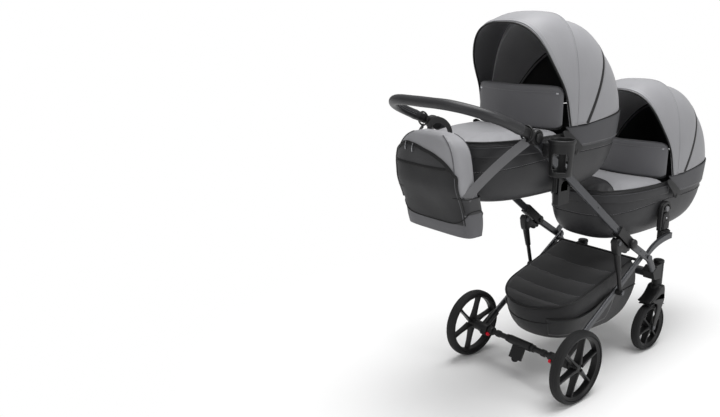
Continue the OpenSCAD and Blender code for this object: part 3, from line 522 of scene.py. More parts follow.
def lathe(name: str, profile: Sequence[Sequence[float]], centre: Sequence[float], axis: Sequence[float],
          count: int = 64, loop: bool = False) -> Item:
    """Turns a profile of radius and distance along the axis round that axis.

    Args:
        name: Name of the piece.
        profile: Radius and distance pairs in mm.
        centre: Point on the axis, where distance is zero.
        axis: Direction of the axis.
        count: Steps round the axis.
        loop: Whether the profile is a closed outline, as in a ring.

    Returns:
        The new object.
    """
    line = np.array(profile, float)
    ahead = unit(np.array(axis, float))
    side = unit(np.cross(ahead, [0.0, 0.31, 0.95]))
    top = np.cross(ahead, side)
    t = np.linspace(0, 2 * np.pi, count, endpoint=False)
    round_ = np.cos(t)[:, None] * side + np.sin(t)[:, None] * top
    grid = np.array(centre, float) + line[:, None, :1] * round_[None] + line[:, None, 1:] * ahead
    return surface(name, grid, wrap_rows=loop, wrap_cols=True, sharp=35)


def inset(outline: Array, amount: float) -> Array:
    """Moves a closed outline inwards along its own normals.

    Args:
        outline: Points of the outline.
        amount: Distance to move.

    Returns:
        The smaller outline.
    """
    way = np.roll(outline, -1, axis=0) - np.roll(outline, 1, axis=0)
    area = np.sum(outline[:, 0] * np.roll(outline[:, 1], -1) - outline[:, 1] * np.roll(outline[:, 0], -1))
    normal = unit(np.stack([way[:, 1], -way[:, 0]], -1)) * np.sign(area)
    return outline - normal * amount


def plate(name: str, outline: Array, low: float, high: float, edge: float,
          side: Side = Side.RIGHT) -> Item:
    """Plate in the side plane with quarter-round edges.

    Args:
        name: Name of the piece.
        outline: Closed outline as y and z in mm.
        low: Inner face, as a distance from the middle of the pram.
        high: Outer face.
        edge: Radius of the rounded edges.
        side: Side of the pram.

    Returns:
        The new closed object.
    """
    turn = np.linspace(0, np.pi / 2, 5)
    ins = np.concatenate([edge * (1 - np.sin(turn)), edge * (1 - np.cos(turn))])
    depth = np.concatenate([low + edge * (1 - np.cos(turn)), high - edge * (1 - np.sin(turn))])
    rows = [np.column_stack([np.full(len(outline), side.value * x), inset(outline, d)])
            for d, x in zip(ins, depth)]
    return surface(name, np.array(rows), wrap_cols=True, caps=True, sharp=35)


def beads(name: str, centres: Array, ahead: Array, outward: Array, half: Sequence[float]) -> Item:
    """Many small rounded pieces in one mesh, such as stitches or rivets.

    Each is an ellipsoid of eight by five points, placed by its own three directions.

    Args:
        name: Name of the piece.
        centres: Middle of each bead in mm.
        ahead: Direction of each bead's length.
        outward: Direction that each bead faces.
        half: Half length, half width and half height in mm.

    Returns:
        The new object.
    """
    ahead, outward = np.broadcast_to(ahead, centres.shape), np.broadcast_to(outward, centres.shape)
    x_dir = unit(np.array(ahead, float))
    y_dir = unit(np.cross(outward, x_dir))
    z_dir = np.cross(x_dir, y_dir)
    rows, cols = 5, 8
    p, q = np.meshgrid(np.linspace(0, np.pi, rows), np.linspace(0, 2 * np.pi, cols, endpoint=False),
                       indexing="ij")
    ball = np.stack([np.cos(p), np.sin(p) * np.cos(q), np.sin(p) * np.sin(q)], -1) * np.array(half)
    points = centres[:, None, None] + (ball[None, ..., :1] * x_dir[:, None, None]
                                       + ball[None, ..., 1:2] * y_dir[:, None, None]
                                       + ball[None, ..., 2:] * z_dir[:, None, None])
    one = lattice(rows, cols, False, True)[2].reshape(-1, 4)
    faces = (one[None] + rows * cols * np.arange(len(centres))[:, None, None]).reshape(-1, 4)
    mesh = bpy.data.meshes.new(name)
    mesh.from_pydata((points.reshape(-1, 3) * MM).tolist(), [], faces.tolist())
    return to_item(name, mesh, None, 60)


def stitches(name: str, path: Array, outward: Array | Sequence[float], gap: float = 6.0) -> Item:
    """Row of stitches along a path, each about two thirds of the gap long.

    Args:
        name: Name of the piece.
        path: Points in mm.
        outward: Direction, or one for each point, that the stitches face.
        gap: Distance from one stitch to the next.

    Returns:
        The new object.
    """
    length = np.linalg.norm(np.diff(path, axis=0), axis=1).sum()
    count = max(4, int(length / gap))
    spots = evenly(path, count)
    faces = np.broadcast_to(np.array(outward, float), path.shape)
    out = np.stack([np.interp(np.linspace(0, 1, count), np.linspace(0, 1, len(path)), faces[:, k])
                    for k in range(3)], -1)
    return beads(name, spots, np.gradient(spots, axis=0), out, (gap * 0.33, 0.6, 0.6))


def ripple(points: Array, wave_mm: float, seed: int) -> Array:
    """Smooth wander from -1 to 1: the mean of six sines in fixed random directions.

    Args:
        points: Points in mm, with three as the last size.
        wave_mm: Rough distance from crest to crest.
        seed: Number that fixes the directions.

    Returns:
        One value for each point.
    """
    rng = np.random.default_rng(seed)
    way = unit(rng.normal(size=(6, 3))) * (2 * np.pi / wave_mm) * rng.uniform(0.7, 1.4, (6, 1))
    return np.sin(points @ way.T + rng.uniform(0, 2 * np.pi, 6)).mean(-1) * 1.6


def thicken(item: Item, mm: float, inner: Optional[Finish] = None, offset: float = -1.0) -> None:
    """Gives an open sheet its thickness, with another finish inside where one is named.

    Args:
        item: The sheet.
        mm: Thickness.
        inner: Finish of the inner face and the edge.
        offset: Minus one grows inwards, one outwards.
    """
    wall = item.modifiers.new("thickness", "SOLIDIFY")
    wall.thickness, wall.offset, wall.use_even_offset = mm * MM, offset, True
    if inner:
        item.data.materials.append(inner.material())
        wall.material_offset = wall.material_offset_rim = 1


def divide(item: Item, levels: int = 1) -> None:
    """Adds a subdivision surface with equal levels in view and render."""
    smooth = item.modifiers.new("smooth", "SUBSURF")
    smooth.levels = smooth.render_levels = levels


def dress(item: Item, body: str, finish: Finish,
          replaces: Sequence[str] = ()) -> Item:
    """Gives a piece its material and puts it on its body.

    Args:
        item: The piece.
        body: Body that carries it.
        finish: Its finish.
        replaces: Solids that it stands for.

    Returns:
        The same piece.
    """
    if item.data.materials:
        item.data.materials[0] = finish.material()
    else:
        item.data.materials.append(finish.material())
    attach(item, body)
    if replaces:
        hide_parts(*replaces)
    LOG.info("%s rides on %s in %s", item.name, body, finish.name)
    return item


def mould(item: Item, body: str, replaces: Sequence[str] = ()) -> Item:
    """Dresses a piece of black moulded plastic."""
    return dress(item, body, PLASTIC_BLACK, replaces)


def puff(item: Item, pressure: float, cap_mm: float, held: Array, steps: int = 16) -> None:
    """Swells a closed cover by a short cloth simulation and keeps the result.

    The cloth is pushed out from inside, without gravity, while the held points stay. Each
    point moves no further than the cap.

    Args:
        item: Closed mesh at the origin.
        pressure: Pressure inside.
        cap_mm: Furthest that a point may move.
        held: How firmly each point is held, from 0 to 1.
        steps: Frames to run.
    """
    group = item.vertex_groups.new(name="held")
    for weight in np.unique(held.round(2)):
        if weight > 0:
            group.add(np.flatnonzero(held.round(2) == weight).tolist(), float(weight), "REPLACE")
    cloth = item.modifiers.new("swell", "CLOTH")
    cloth.settings.quality = 4
    cloth.settings.mass = 0.3
    cloth.settings.tension_stiffness = cloth.settings.compression_stiffness = 25
    cloth.settings.bending_stiffness = 4
    cloth.settings.use_pressure = True
    cloth.settings.uniform_pressure_force = pressure
    cloth.settings.vertex_group_mass = "held"
    cloth.settings.effector_weights.gravity = 0
    cloth.point_cache.frame_start, cloth.point_cache.frame_end = 1, steps
    scene = bpy.context.scene
    for frame in range(1, steps + 1):
        scene.frame_set(frame)
    count = len(item.data.vertices)
    before, after = np.zeros(count * 3), np.zeros(count * 3)
    item.data.vertices.foreach_get("co", before)
    item.evaluated_get(bpy.context.evaluated_depsgraph_get()).data.vertices.foreach_get("co", after)
    move = (after - before).reshape(-1, 3)
    far = np.linalg.norm(move, axis=1, keepdims=True)
    move *= np.minimum(1.0, cap_mm * MM / np.maximum(far, 1e-9))
    item.modifiers.remove(cloth)
    item.data.vertices.foreach_set("co", before + move.ravel())
    item.data.update()
    scene.frame_set(1)
    LOG.info("%s swelled by up to %.1f mm", item.name, float(far.max()) / MM)


def settle(points: Array, item: Item, lift: float) -> Array:
    """Drops points straight down on to a piece, where it lies below them.

    Args:
        points: Points in mm.
        item: Piece at the origin.
        lift: Distance left above it.

    Returns:
        The points at their new heights.
    """
    tree = BVHTree.FromObject(item, bpy.context.evaluated_depsgraph_get())
    flat = points.reshape(-1, 3)
    down = Vector((0, 0, -1))
    above, reach = np.array([0.0, 0.0, 0.3]), 0.4
    found = [tree.ray_cast(Vector(p), down, reach)[0] for p in (flat * MM + above).tolist()]
    height = np.array([old if hit is None else hit.z / MM + lift for hit, old in zip(found, flat[:, 2])])
    return np.column_stack([flat[:, :2], height]).reshape(points.shape)


@dataclass
class Studio:
    """Pale floor, soft lamps and the camera at the photograph's viewing angle."""

    place_m: tuple[float, float, float] = (1.62144, -2.05855, 1.37629)
    yaw: float = 52.07
    pitch: float = 14.94
    roll: float = -0.64
    focal_px: float = 704.5
    width_px: int = 720
    sensor_mm: float = 36.0
    middle_m: tuple[float, float, float] = (0.0, 0.3, 0.6)
    floor_half_mm: float = 14000.0
    shadow_m: tuple[float, float] = (0.75, 1.7)
    sky: float = 0.36

    def camera(self) -> None:
        """Aims the camera by its yaw, pitch and roll."""
        yaw, pitch, roll = (math.radians(a) for a in (self.yaw, self.pitch, self.roll))
        back = Vector((math.sin(yaw) * math.cos(pitch), -math.cos(yaw) * math.cos(pitch), math.sin(pitch)))
        right = (-back).cross(Vector((0, 0, 1))).normalized()
        top = right.cross(-back)
        across = math.cos(roll) * right + math.sin(roll) * top
        upward = -math.sin(roll) * right + math.cos(roll) * top
        data = bpy.data.cameras.new("camera")
        data.sensor_fit, data.sensor_width = "HORIZONTAL", self.sensor_mm
        data.lens = self.focal_px / self.width_px * self.sensor_mm
        camera = bpy.data.objects.new("camera", data)
        turn = Matrix((across, upward, back)).transposed()
        camera.matrix_world = Matrix.Translation(self.place_m) @ turn.to_4x4()
        bpy.context.scene.collection.objects.link(camera)
        bpy.context.scene.camera = camera

    def lamp(self, name: str, spot: Sequence[float], size: float, watts: float) -> None:
        """Adds a square soft lamp that looks at the middle of the pram.

        Args:
            name: Name of the lamp.
            spot: Its place in metres.
            size: Its side in metres.
            watts: Its power.
        """
        data = bpy.data.lights.new(name, "AREA")
        data.size, data.energy = size, watts
        lamp = bpy.data.objects.new(name, data)
        lamp.location = spot
        lamp.rotation_euler = (Vector(self.middle_m) - Vector(spot)).to_track_quat("-Z", "Y").to_euler()
        bpy.context.scene.collection.objects.link(lamp)

    def world(self) -> None:
        """Lights softly from all round and shows white to the eye and through transmission."""
        world = bpy.data.worlds.new("studio")
        bpy.context.scene.world = world
        world.use_nodes = True
        tree = world.node_tree
        sky = tree.nodes["Background"]
        sky.inputs["Color"].default_value = linear("#ffffff")
        rays = add_node(tree, "ShaderNodeLightPath")
        seen = add_node(tree, "ShaderNodeMath", None,
                        {0: rays.outputs["Is Camera Ray"], 1: rays.outputs["Is Transmission Ray"]},
                        operation="MAXIMUM")
        level = add_node(tree, "ShaderNodeMapRange", {"To Min": self.sky, "To Max": 1.0},
                         {"Value": seen.outputs["Value"]})
        tree.links.new(level.outputs["Result"], sky.inputs["Strength"])

    def floor(self) -> None:
        """Lays the pale floor, which takes the shadow near the pram and shows plain white further off."""
        across = np.linspace(-self.floor_half_mm, self.floor_half_mm, 9)
        run = np.linspace(-self.floor_half_mm, self.floor_half_mm, 41)
        y, x = np.meshgrid(run, across, indexing="ij")
        item = surface("floor", np.stack([x, y, np.zeros_like(x)], -1), inside=(0, 0, -1000))
        made = bpy.data.materials.new("white_paper_matt")
        made.use_nodes = True
        tree = made.node_tree
        shader = tree.nodes["Principled BSDF"]
        shader.inputs["Base Color"].default_value = linear("#f4f4f4")
        shader.inputs["Roughness"].default_value = 0.9
        shader.inputs["Specular IOR Level"].default_value = 0.1
        place = add_node(tree, "ShaderNodeTexCoord")
        under = (*self.middle_m[:2], 0.0)
        centre = add_node(tree, "ShaderNodeVectorMath", {1: under}, {0: place.outputs["Object"]},
                          operation="SUBTRACT")
        far = add_node(tree, "ShaderNodeVectorMath", None, {0: centre.outputs["Vector"]}, operation="LENGTH")
        fade = add_node(tree, "ShaderNodeMapRange",
                        {"From Min": self.shadow_m[0], "From Max": self.shadow_m[1]},
                        {"Value": far.outputs["Value"]}, interpolation_type="SMOOTHSTEP")
        rays = add_node(tree, "ShaderNodeLightPath")
        seen = add_node(tree, "ShaderNodeMath", None,
                        {0: rays.outputs["Is Camera Ray"], 1: rays.outputs["Is Glossy Ray"]},
                        operation="MAXIMUM")
        seen = add_node(tree, "ShaderNodeMath", None,
                        {0: seen.outputs["Value"], 1: rays.outputs["Is Transmission Ray"]},
                        operation="MAXIMUM")
        share = add_node(tree, "ShaderNodeMath", None,
                         {0: fade.outputs["Result"], 1: seen.outputs["Value"]}, operation="MULTIPLY")
        white = add_node(tree, "ShaderNodeEmission", {"Color": linear("#ffffff"), "Strength": 1.0})
        both = add_node(tree, "ShaderNodeMixShader", None,
                        {0: share.outputs["Value"], 1: shader.outputs["BSDF"], 2: white.outputs["Emission"]})
        tree.links.new(both.outputs["Shader"], tree.nodes["Material Output"].inputs["Surface"])
        item.data.materials.append(made)

    def build(self) -> None:
        """Sets up the view, the light and the floor."""
        bpy.context.scene.view_settings.view_transform = "Standard"
        self.camera()
        self.world()
        self.lamp("overhead_lamp", (0.2, 0.2, 4.2), 3.0, 184)
        self.lamp("front_lamp", (0.8, -4.2, 2.6), 2.6, 28)
        self.lamp("side_lamp", (4.4, 0.8, 2.6), 2.6, 54)
        self.floor()


@dataclass
class Carrycot:
    """A cot tub with its hood, apron, flap and latches, drawn where the rear cot stands."""

    name: str
    shift: tuple[float, float, float]
    half_w: float = 187.0
    middle: float = -35.0
    half_l: float = 410.0
    power: float = 3.0
    rim: float = 962.0
    bottom: float = 785.0
    floor_share: float = 0.66
    floor_shift: float = -25.0
    pivot: tuple[float, float] = (-11.0, 934.0)
    rear_r: float = 436.2
    rear_half: float = 191.0
    rear_turn: float = 54.0
    rear_foot: tuple[float, float] = (379.0, 1048.0)
    band_front: float = -62.0
    apron_end: float = -122.0
    apron_bow: float = 38.0
    apron_rise: float = 54.0
    latch_y: float = -75.0
    # Whether a dark sheet is laid over the apron's foot as painted shadow of the cot above.
    foot_panel: bool = False

    def put(self, points: Array) -> Array:
        """Moves points to where this cot stands."""
        return points + np.array(self.shift)

    def at(self, *point: float) -> tuple[float, float, float]:
        """Moves one point to where this cot stands."""
        return tuple(float(a + b) for a, b in zip(point, self.shift))

    @property
    def body(self) -> str:
        """Body of the cot tub."""
        return f"{self.name}_cot"

    def trim(self, label: str, path: Array, profile: Array, up: Sequence[float] | Array, finish: Finish,
             part: str = "cot", closed: bool = False) -> None:
        """Runs a piping, zip or tape along a line of the cot.

        Args:
            label: Name of the piece after the cot's own.
            path: Points in mm, where the rear cot stands.
            profile: Points across the path.
            up: Direction, or one for each point, that is never along the path.
            finish: Its finish.
            part: Body of the cot that carries it.
            closed: Whether the path is a loop.
        """
        item = sweep(f"{self.name}_{label}", self.put(path), profile, up, closed)
        dress(item, f"{self.name}_{part}", finish)

    def sew(self, label: str, path: Array, outward: Sequence[float] | Array, gap: float, part: str = "cot") -> None:
        """Sews a row of stitches along a line of the cot.

        Args:
            label: Name of the piece after the cot's own.
            path: Points in mm, where the rear cot stands.
            outward: Direction, or one for each point, that the stitches face.
            gap: Distance from one stitch to the next.
            part: Body of the cot that carries it.
        """
        row = stitches(f"{self.name}_{label}", self.put(path), outward, gap)
        dress(row, f"{self.name}_{part}", THREAD)

    def panel(self, label: str, grid: Array, heart: Sequence[float], finish: Finish, thick: float,
              lining: Optional[Finish] = None, part: str = "cot", replaces: Sequence[str] = ()) -> None:
        """Builds a panel of leatherette with its thickness and lining.

        Args:
            label: Name of the piece after the cot's own.
            grid: Points of its outer face in mm, where the rear cot stands.
            heart: Point that the panel faces away from.
            finish: Its finish.
            thick: Thickness in mm.
            lining: Finish of the inner face.
            part: Body of the cot that carries it.
            replaces: Solids that it stands for, after the cot's own name.
        """
        item = surface(f"{self.name}_{label}", self.put(grid), inside=self.at(*heart))
        dress(item, f"{self.name}_{part}", finish,
              [f"{self.name}_{solid}" for solid in replaces])
        thicken(item, thick, lining)

    def narrowed(self, outline: Array, share: Array) -> Array:
        """Draws rows of points in towards the upright line through the middle of the floor.

        Args:
            outline: Points of one row or of all rows.
            share: Size of each row, with two more axes.

        Returns:
            Rows by columns of points.
        """
        centre = np.array([0, self.middle + self.floor_shift, 0])
        return (outline - centre) * np.concatenate([share, share, np.ones_like(share)], -1) + centre

    def tub(self, s: Array, outline: Array, lift: float = 0.0) -> Array:
        """Points of the tub: the rim's outline shrinks as a root of one minus a power of the depth.

        Args:
            s: Depth share of each row, 0 at the rim and 1 at the bottom.
            outline: Ring of the rim, as x and y from the middle.
            lift: Height added to every row.

        Returns:
            Rows by columns of points.
        """
        s = np.asarray(s, float)[:, None]
        size = self.floor_share + (1 - self.floor_share) * np.sqrt(np.maximum(0, 1 - s ** 2.2))
        x = outline[None, :, 0] * size
        y = self.middle + self.floor_shift * s ** 2 + outline[None, :, 1] * size
        z = np.broadcast_to(self.rim + (self.bottom - self.rim) * s + lift, x.shape)
        return np.stack([x, y, z], -1)

    def build_shell(self) -> None:
        """Builds the tub as one closed skin, with its rim piping and the seam round its side."""
        outer = ring(self.half_w, self.half_l, self.power, 128)
        inner = outer * np.array([(self.half_w - 4) / self.half_w, (self.half_l - 4) / self.half_l])
        depth = np.sin(np.linspace(0, np.pi / 2, 26))
        skin = self.tub(depth, outer)
        skin += (ripple(skin, 170, 5)[..., None] * np.array([1.2, 1.2, 0])
                 * np.sin(np.pi * np.clip(depth, 0, 1))[:, None, None])
        lining = self.tub(depth[:-4][::-1], inner, 4)
        share = np.linspace(0.9, 0, 6)[:, None, None]
        base = self.narrowed(skin[-1][None], share)
        base[..., 2] -= 1.5 * (1 - share[..., 0] ** 2)
        top = self.tub([0], outer * 0.995, 2.5)
        pit = self.narrowed(lining[0][None], share)
        grid = np.concatenate([pit[::-1], lining, top, skin, base])
        shell = surface(f"{self.name}_tub_cover", self.put(grid), wrap_cols=True)
        dress(shell, self.body, TUB_CHARCOAL, [f"{self.name}_shell"])
        edge = self.tub([0], ring(self.half_w + 0.5, self.half_l + 0.5, self.power, 128), -1)[0]
        self.trim("rim_piping", edge, round_profile(2.4, 8), UP, PIPING_BLACK,
                  closed=True)
        start = np.clip((-60 - outer[:, 1] - self.middle) / 330, 0, 1)
        depth_at = 0.21 + 0.15 * start ** 1.3
        size = self.floor_share + (1 - self.floor_share) * np.sqrt(1 - depth_at ** 2.2)
        seam = np.column_stack([outer[:, 0] * (size + 0.004),
                                self.middle + self.floor_shift * depth_at ** 2 + outer[:, 1] * (size + 0.002),
                                self.rim + (self.bottom - self.rim) * depth_at])
        self.trim("tub_seam", seam, round_profile(1.5, 8), UP, TUB_CHARCOAL,
                  closed=True)
        out = np.column_stack([outer / np.array([self.half_w, self.half_l]), np.zeros(len(outer))])
        self.sew("tub_stitching", seam + np.array([0, 0, 4.5]) + unit(out) * 0.6, out, 8)

    def build_mattress(self) -> None:
        """Builds the mattress as a crowned closed pad that fills the floor of the tub."""
        outline = ring(self.half_w, self.half_l, self.power, 72)
        low = (self.rim - self.bottom - 5) / (self.rim - self.bottom)
        levels = np.array([[0, 0.2], [0, 0.6], [0, 0.9], [0.03, 0.97], [0.15, 1], [0.5, 1], [0.78, 0.985],
                           [0.92, 0.95], [0.99, 0.88], [1.02, 0.75], [1.04, 0.55], [1.05, 0.3],
                           [1.05, 0.02]])
        thick = 42.0
        depth = low - thick * levels[:, 0] / (self.rim - self.bottom)
        grid = self.tub(depth, outline * np.array([0.93, 0.965]))
        grid = self.narrowed(grid, levels[:, 1][:, None, None])
        pad = surface(f"{self.name}_mattress_pad", self.put(grid), wrap_cols=True, caps=True)
        height = np.repeat(levels[:, 0], len(outline))
        puff(pad, 2.0, 6.0, np.where(height < 0.2, 1.0, 0.0), 10)
        divide(pad)
        dress(pad, self.body, MATTRESS, [f"{self.name}_mattress"])

    def apron_skin(self, grow: float, lift: float, rows: int = 40, cols: int = 61) -> Array:
        """Upper skin of the apron on a grid from one side of the rim over to the other.

        A row runs across the pram at one length; its width follows the rim's outline, and its
        height is a rounded arch that falls to a skirt at both sides and at the foot.

        Args:
            grow: How far the skin stands out from the rim.
            lift: How far it stands above the solid's top.
            rows: Rows along the pram.
            cols: Points across it.

        Returns:
            Rows by columns of points.
        """
        half_w, half_l = self.half_w + grow, self.half_l + grow
        foot = self.middle - half_l
        u = np.linspace(0, 1, rows)[:, None]
        bow = np.sin(np.linspace(-1, 1, cols) * np.pi / 2)[None]
        y = foot + (self.apron_end + self.apron_bow * bow ** 2 - foot) * (0.25 * u + 0.75 * u ** 1.6)
        far = np.clip(np.abs(y - self.middle) / half_l, 0, 0.9995)
        x = half_w * (1 - far ** self.power) ** (1 / self.power) * bow
        edge = np.minimum(1, np.abs(x) / half_w)
        fall = edge ** self.power + far ** self.power
        top = np.clip(1 - np.clip(fall, 0, 1) ** 3, 0, 1) ** 0.22
        z = self.rim - 6 + lift + (self.apron_rise + 3) * top
        return np.stack([x, y, z], -1)

    def build_apron(self) -> None:
        """Builds the padded apron with its skirt and, where the cot has one, a dark sheet over its foot as painted
        shadow of the cot above.
        """
        skin = self.apron_skin(3.2, 0.5)
        under = skin * np.array([0.975, 1, 1]) + np.array([0, 0, -7.0])
        under[0] += np.array([0, 8.0, 0])
        grid = np.concatenate([skin, under[:, ::-1]], 1)
        pad = surface(f"{self.name}_apron_cover", self.put(grid), wrap_cols=True, caps=True)
        place = np.zeros(len(pad.data.vertices) * 3)
        pad.data.vertices.foreach_get("co", place)
        place = place.reshape(-1, 3) / MM - np.array(self.shift)
        firm = np.clip((self.rim + 34 - place[:, 2]) / 10, 0, 1)
        end = self.apron_end + self.apron_bow * (place[:, 0] / self.half_w) ** 2
        firm = np.maximum(firm, np.clip((place[:, 1] - end + 12) / 10, 0, 1))
        puff(pad, 5.0, 7.0, np.where(place[:, 2] < self.rim - 8, 1.0, firm))
        divide(pad)
        dress(pad, self.body, HOOD_GREY, [f"{self.name}_apron"])
        self.build_skirt()
        if self.foot_panel:
            self.build_foot_panel(pad)

    def build_skirt(self) -> None:
        """Builds the dark skirt below the apron, with the zip along its top edge."""
        outline = ring(self.half_w + 4.4, self.half_l + 4.4, self.power, 400)
        order = np.roll(outline, -np.argmax(outline[:, 1]), axis=0)
        way = order[order[:, 1] + self.middle < self.band_front + 14]
        way = evenly(way, 90)
        low, high = self.rim - 11, self.rim + 37
        z = np.repeat(np.linspace(low, high, 13)[:, None], len(way), 1)
        tuck = np.clip((z - self.rim - 8) / 30, 0, 1) ** 2
        x = way[None, :, 0] * (1 - 0.024 * tuck)
        y = self.middle + way[None, :, 1] * (1 - 0.012 * tuck)
        grid = np.stack([x, y, z], -1)
        self.panel("apron_skirt", grid, (0, self.middle, self.rim), TUB_CHARCOAL, 2.0)
        for label, row, radius, finish in (("zip", -1, 3.4, ZIP_BLACK), ("zip_tape", -4, 2.6, PIPING_BLACK),
                                           ("piping", -5, 1.8, BAND_GREY)):
            self.trim(f"apron_{label}", grid[row], round_profile(radius, 10), UP, finish)

    def build_foot_panel(self, pad: Item) -> None:
        """Builds a dark sheet over the apron's foot as painted shadow of the cot above, with a curved edge that
        runs out at both sides.

        It starts at the zip and reaches to a parabola across the pram; its points then drop
        on to the padded top.

        Args:
            pad: The apron's padded cover.
        """
        outline = ring(self.half_w + 4.0, self.half_l + 4.0, self.power, 800)
        order = np.roll(outline, -np.argmax(outline[:, 1]), axis=0)
        way = evenly(order[order[:, 1] + self.middle < -358], 80) * 0.975 + np.array([0, self.middle])
        reach = way * np.array([0.97, 1])
        reach[:, 1] = np.maximum(way[:, 1] + 0.5, -298 - 60 * (np.abs(reach[:, 0]) / 126) ** 1.5)
        h = np.linspace(0, 1, 20)[:, None, None]
        flat = way[None] * (1 - h) + reach[None] * h
        flat = np.concatenate([flat, np.full((20, 80, 1), self.rim + 34.0)], -1)
        grid = settle(self.put(flat), pad, 1.2)
        grid[0] = self.put(flat)[0]
        panel = surface(f"{self.name}_apron_foot_panel", grid, inside=self.at(0, self.middle, self.rim - 60))
        thicken(panel, 1.0, offset=1.0)
        dress(panel, self.body, TUB_CHARCOAL)
        # Dark line along the sheet's edge, part of the same painted shadow.
        edge = sweep(f"{self.name}_apron_foot_piping", grid[-1] + np.array([0, 0, 0.8]),
                     round_profile(1.6, 8), UP)
        dress(edge, self.body, PIPING_BLACK)

    def build_flap(self) -> None:
        """Builds the wind flap as a padded panel bowed towards the foot, with rounded top corners."""
        half, height, low = 185.0, 150.0, self.rim + 51
        u, v = np.meshgrid(np.linspace(0, 1, 27), np.linspace(-1, 1, 53), indexing="ij")
        corner = np.clip((np.abs(v) - 0.86) / 0.14, 0, 1)
        drop = 24 * (1 - np.sqrt(np.maximum(0, 1 - corner ** 2)))
        x = half * np.sign(v) * np.abs(v) ** 0.95
        z = low + drop * 0.6 + (height - 4 * (1 - v ** 2) - drop * 1.6) * u
        y = self.apron_end + 5 + 35 * (x / 171) ** 2
        face = np.stack([x, y, z], -1)
        puffed = np.clip(np.minimum(u, 1 - u) * 9, 0, 1) * np.clip((1 - np.abs(v)) * 14, 0, 1)
        hem = 1.6 * np.exp(-((u - 0.9) / 0.06) ** 2)
        thick = 0.8 + 4.6 * np.sqrt(np.clip(puffed * (2 - puffed), 0, 1)) + hem
        front = face - np.array([0, 1, 0]) * thick[..., None]
        back = face + np.array([0, 1, 0]) * thick[..., None]
        grid = np.concatenate([front, back[:, ::-1]], 1)
        panel = surface(f"{self.name}_wind_flap", self.put(grid), wrap_cols=True, caps=True)
        edge = np.concatenate([puffed, puffed[:, ::-1]], 1).ravel()
        puff(panel, 3.0, 3.0, np.where(edge < 0.5, 1.0, 0.0), 10)
        divide(panel)
        # The flap's finish carries painted shade: the hood's leatherette drawn darker.
        dress(panel, f"{self.name}_flap", FLAP_SHADED_GREY, [f"{self.name}_flap"])
        base = evenly(face[0], 70) + np.array([0, -1.5, 0])
        self.trim("flap_piping", base, round_profile(2.6, 10), (0, 1, 0.02), PIPING_BLACK, "flap")
        line = evenly(front[-5, 4:-4], 80) + np.array([0, -1.4, 0])
        self.sew("flap_stitching", line, (0, -1, 0), 7, "flap")
        stud = [(0, 0), (4.5, 0), (5, 0.8), (4, 2.2), (0, 2.8)]
        for side in Side:
            snap = lathe(f"{self.name}_flap_snap_{side.word}", stud,
                         self.at(side.value * 168, self.apron_end + 33.5, low + 122), (0, -1, 0), 20)
            dress(snap, f"{self.name}_flap", STEEL)

    def arch(self, radius: float, half: float, t: Array) -> tuple[Array, Array]:
        """Hood outline: distance from the pivots and place across, as a superellipse of exponent three."""
        points = superellipse(radius, half, 3.0, t)
        return points[..., 0], points[..., 1]

    def band_top(self, y: Array) -> Array:
        """Height of the band's upper edge at a length along the cot."""
        return np.interp(y, [-67.0, 47.5, 435.0], [self.rim + 60, self.rim + 56.8, self.rear_foot[1]])

    def gore(self, radius: float, half: float, angles: tuple[float, float], full: float, seed: int,
             dip: float = 0.0) -> Array:
        """Hood panel: an arch turned about the pivots, fuller between its two bows.

        Distance from the pivots follows the arch; the middle of the panel stands out by a sine
        of its share of the turn; puckers fade up from the lower ends.

        Args:
            radius: Height of the arch above the pivots.
            half: Half width of the arch.
            angles: First and last angle of the turn, in degrees.
            full: How far the middle stands out, in mm.
            seed: Number that fixes the puckers.
            dip: How far the free edge bends back low down at the sides, in degrees.

        Returns:
            Rows by columns of points.
        """
        a = np.radians(np.linspace(angles[0], angles[1], 25))[:, None]
        share = np.linspace(0, 1, 25)[:, None]
        least = (self.rim + 62 - self.pivot[1]) / np.sin(a)
        limit = np.arccos((least / radius) ** 1.5)
        dense = np.linspace(-1, 1, 801)[None] * limit
        r_all, x_all = self.arch(radius, half, dense)
        keep = np.linspace(0, 1, 73)
        step = np.hypot(np.diff(r_all, axis=1), np.diff(x_all, axis=1))
        run = np.concatenate([np.zeros((25, 1)), np.cumsum(step, 1)], 1) / step.sum(1, keepdims=True)
        r = np.array([np.interp(keep, q, p) for q, p in zip(run, r_all)])
        x = np.array([np.interp(keep, q, p) for q, p in zip(run, x_all)])
        swell = np.sin(np.pi * share) * np.clip((r - least) / (0.55 * radius), 0, 1)
        r = r + full * swell
        pucker = ripple(np.stack([x, r * np.cos(a) * 3, r * 0.3], -1), 70, seed)
        low = np.exp(-(r - least) / 70) * np.sin(np.pi * share)
        x = x - np.sign(x) * (0.4 + 0.4 * pucker) * low
        a = a - math.radians(dip) * share ** 2 * np.exp(-((r - 195) / 85) ** 2)
        return np.stack([x, self.pivot[0] + r * np.cos(a), self.pivot[1] + r * np.sin(a)], -1)

    def rear_gore(self) -> Array:
        """Fixed rear panel: the arch moved in to turn about its own middle, down to the band.

        The middle lies where one circle meets both the top bow and the panel's foot; the panel
        grows fuller towards the foot.

        Returns:
            Rows by columns of points.
        """
        turn = math.radians(self.rear_turn)
        way = np.array([math.cos(turn), math.sin(turn)])
        top = np.array(self.pivot) + self.rear_r * way
        fall = np.array(self.rear_foot) - top
        bow = float(fall @ fall / (-2 * fall @ way))
        mid = top - bow * way
        a = np.radians(np.linspace(self.rear_turn, 4.6, 29))[:, None]
        share = np.linspace(0, 1, 29)[:, None]
        end = math.acos(((self.rear_r - bow + 1.0) / self.rear_r) ** 1.5)
        r_all, x_all = self.arch(self.rear_r, self.rear_half, np.linspace(-end, end, 801))
        line = evenly(np.column_stack([r_all, x_all]), 73)
        r = (line[:, 0] + bow - self.rear_r)[None] * np.ones_like(a)
        x = np.broadcast_to(line[:, 1][None], r.shape)
        full = 15.0 * share ** 1.5 + 2.5 * np.sin(np.pi * share)
        r = r + full * np.clip(r / 200, 0, 1)
        return np.stack([x, mid[0] + r * np.cos(a), mid[1] + r * np.sin(a)], -1)

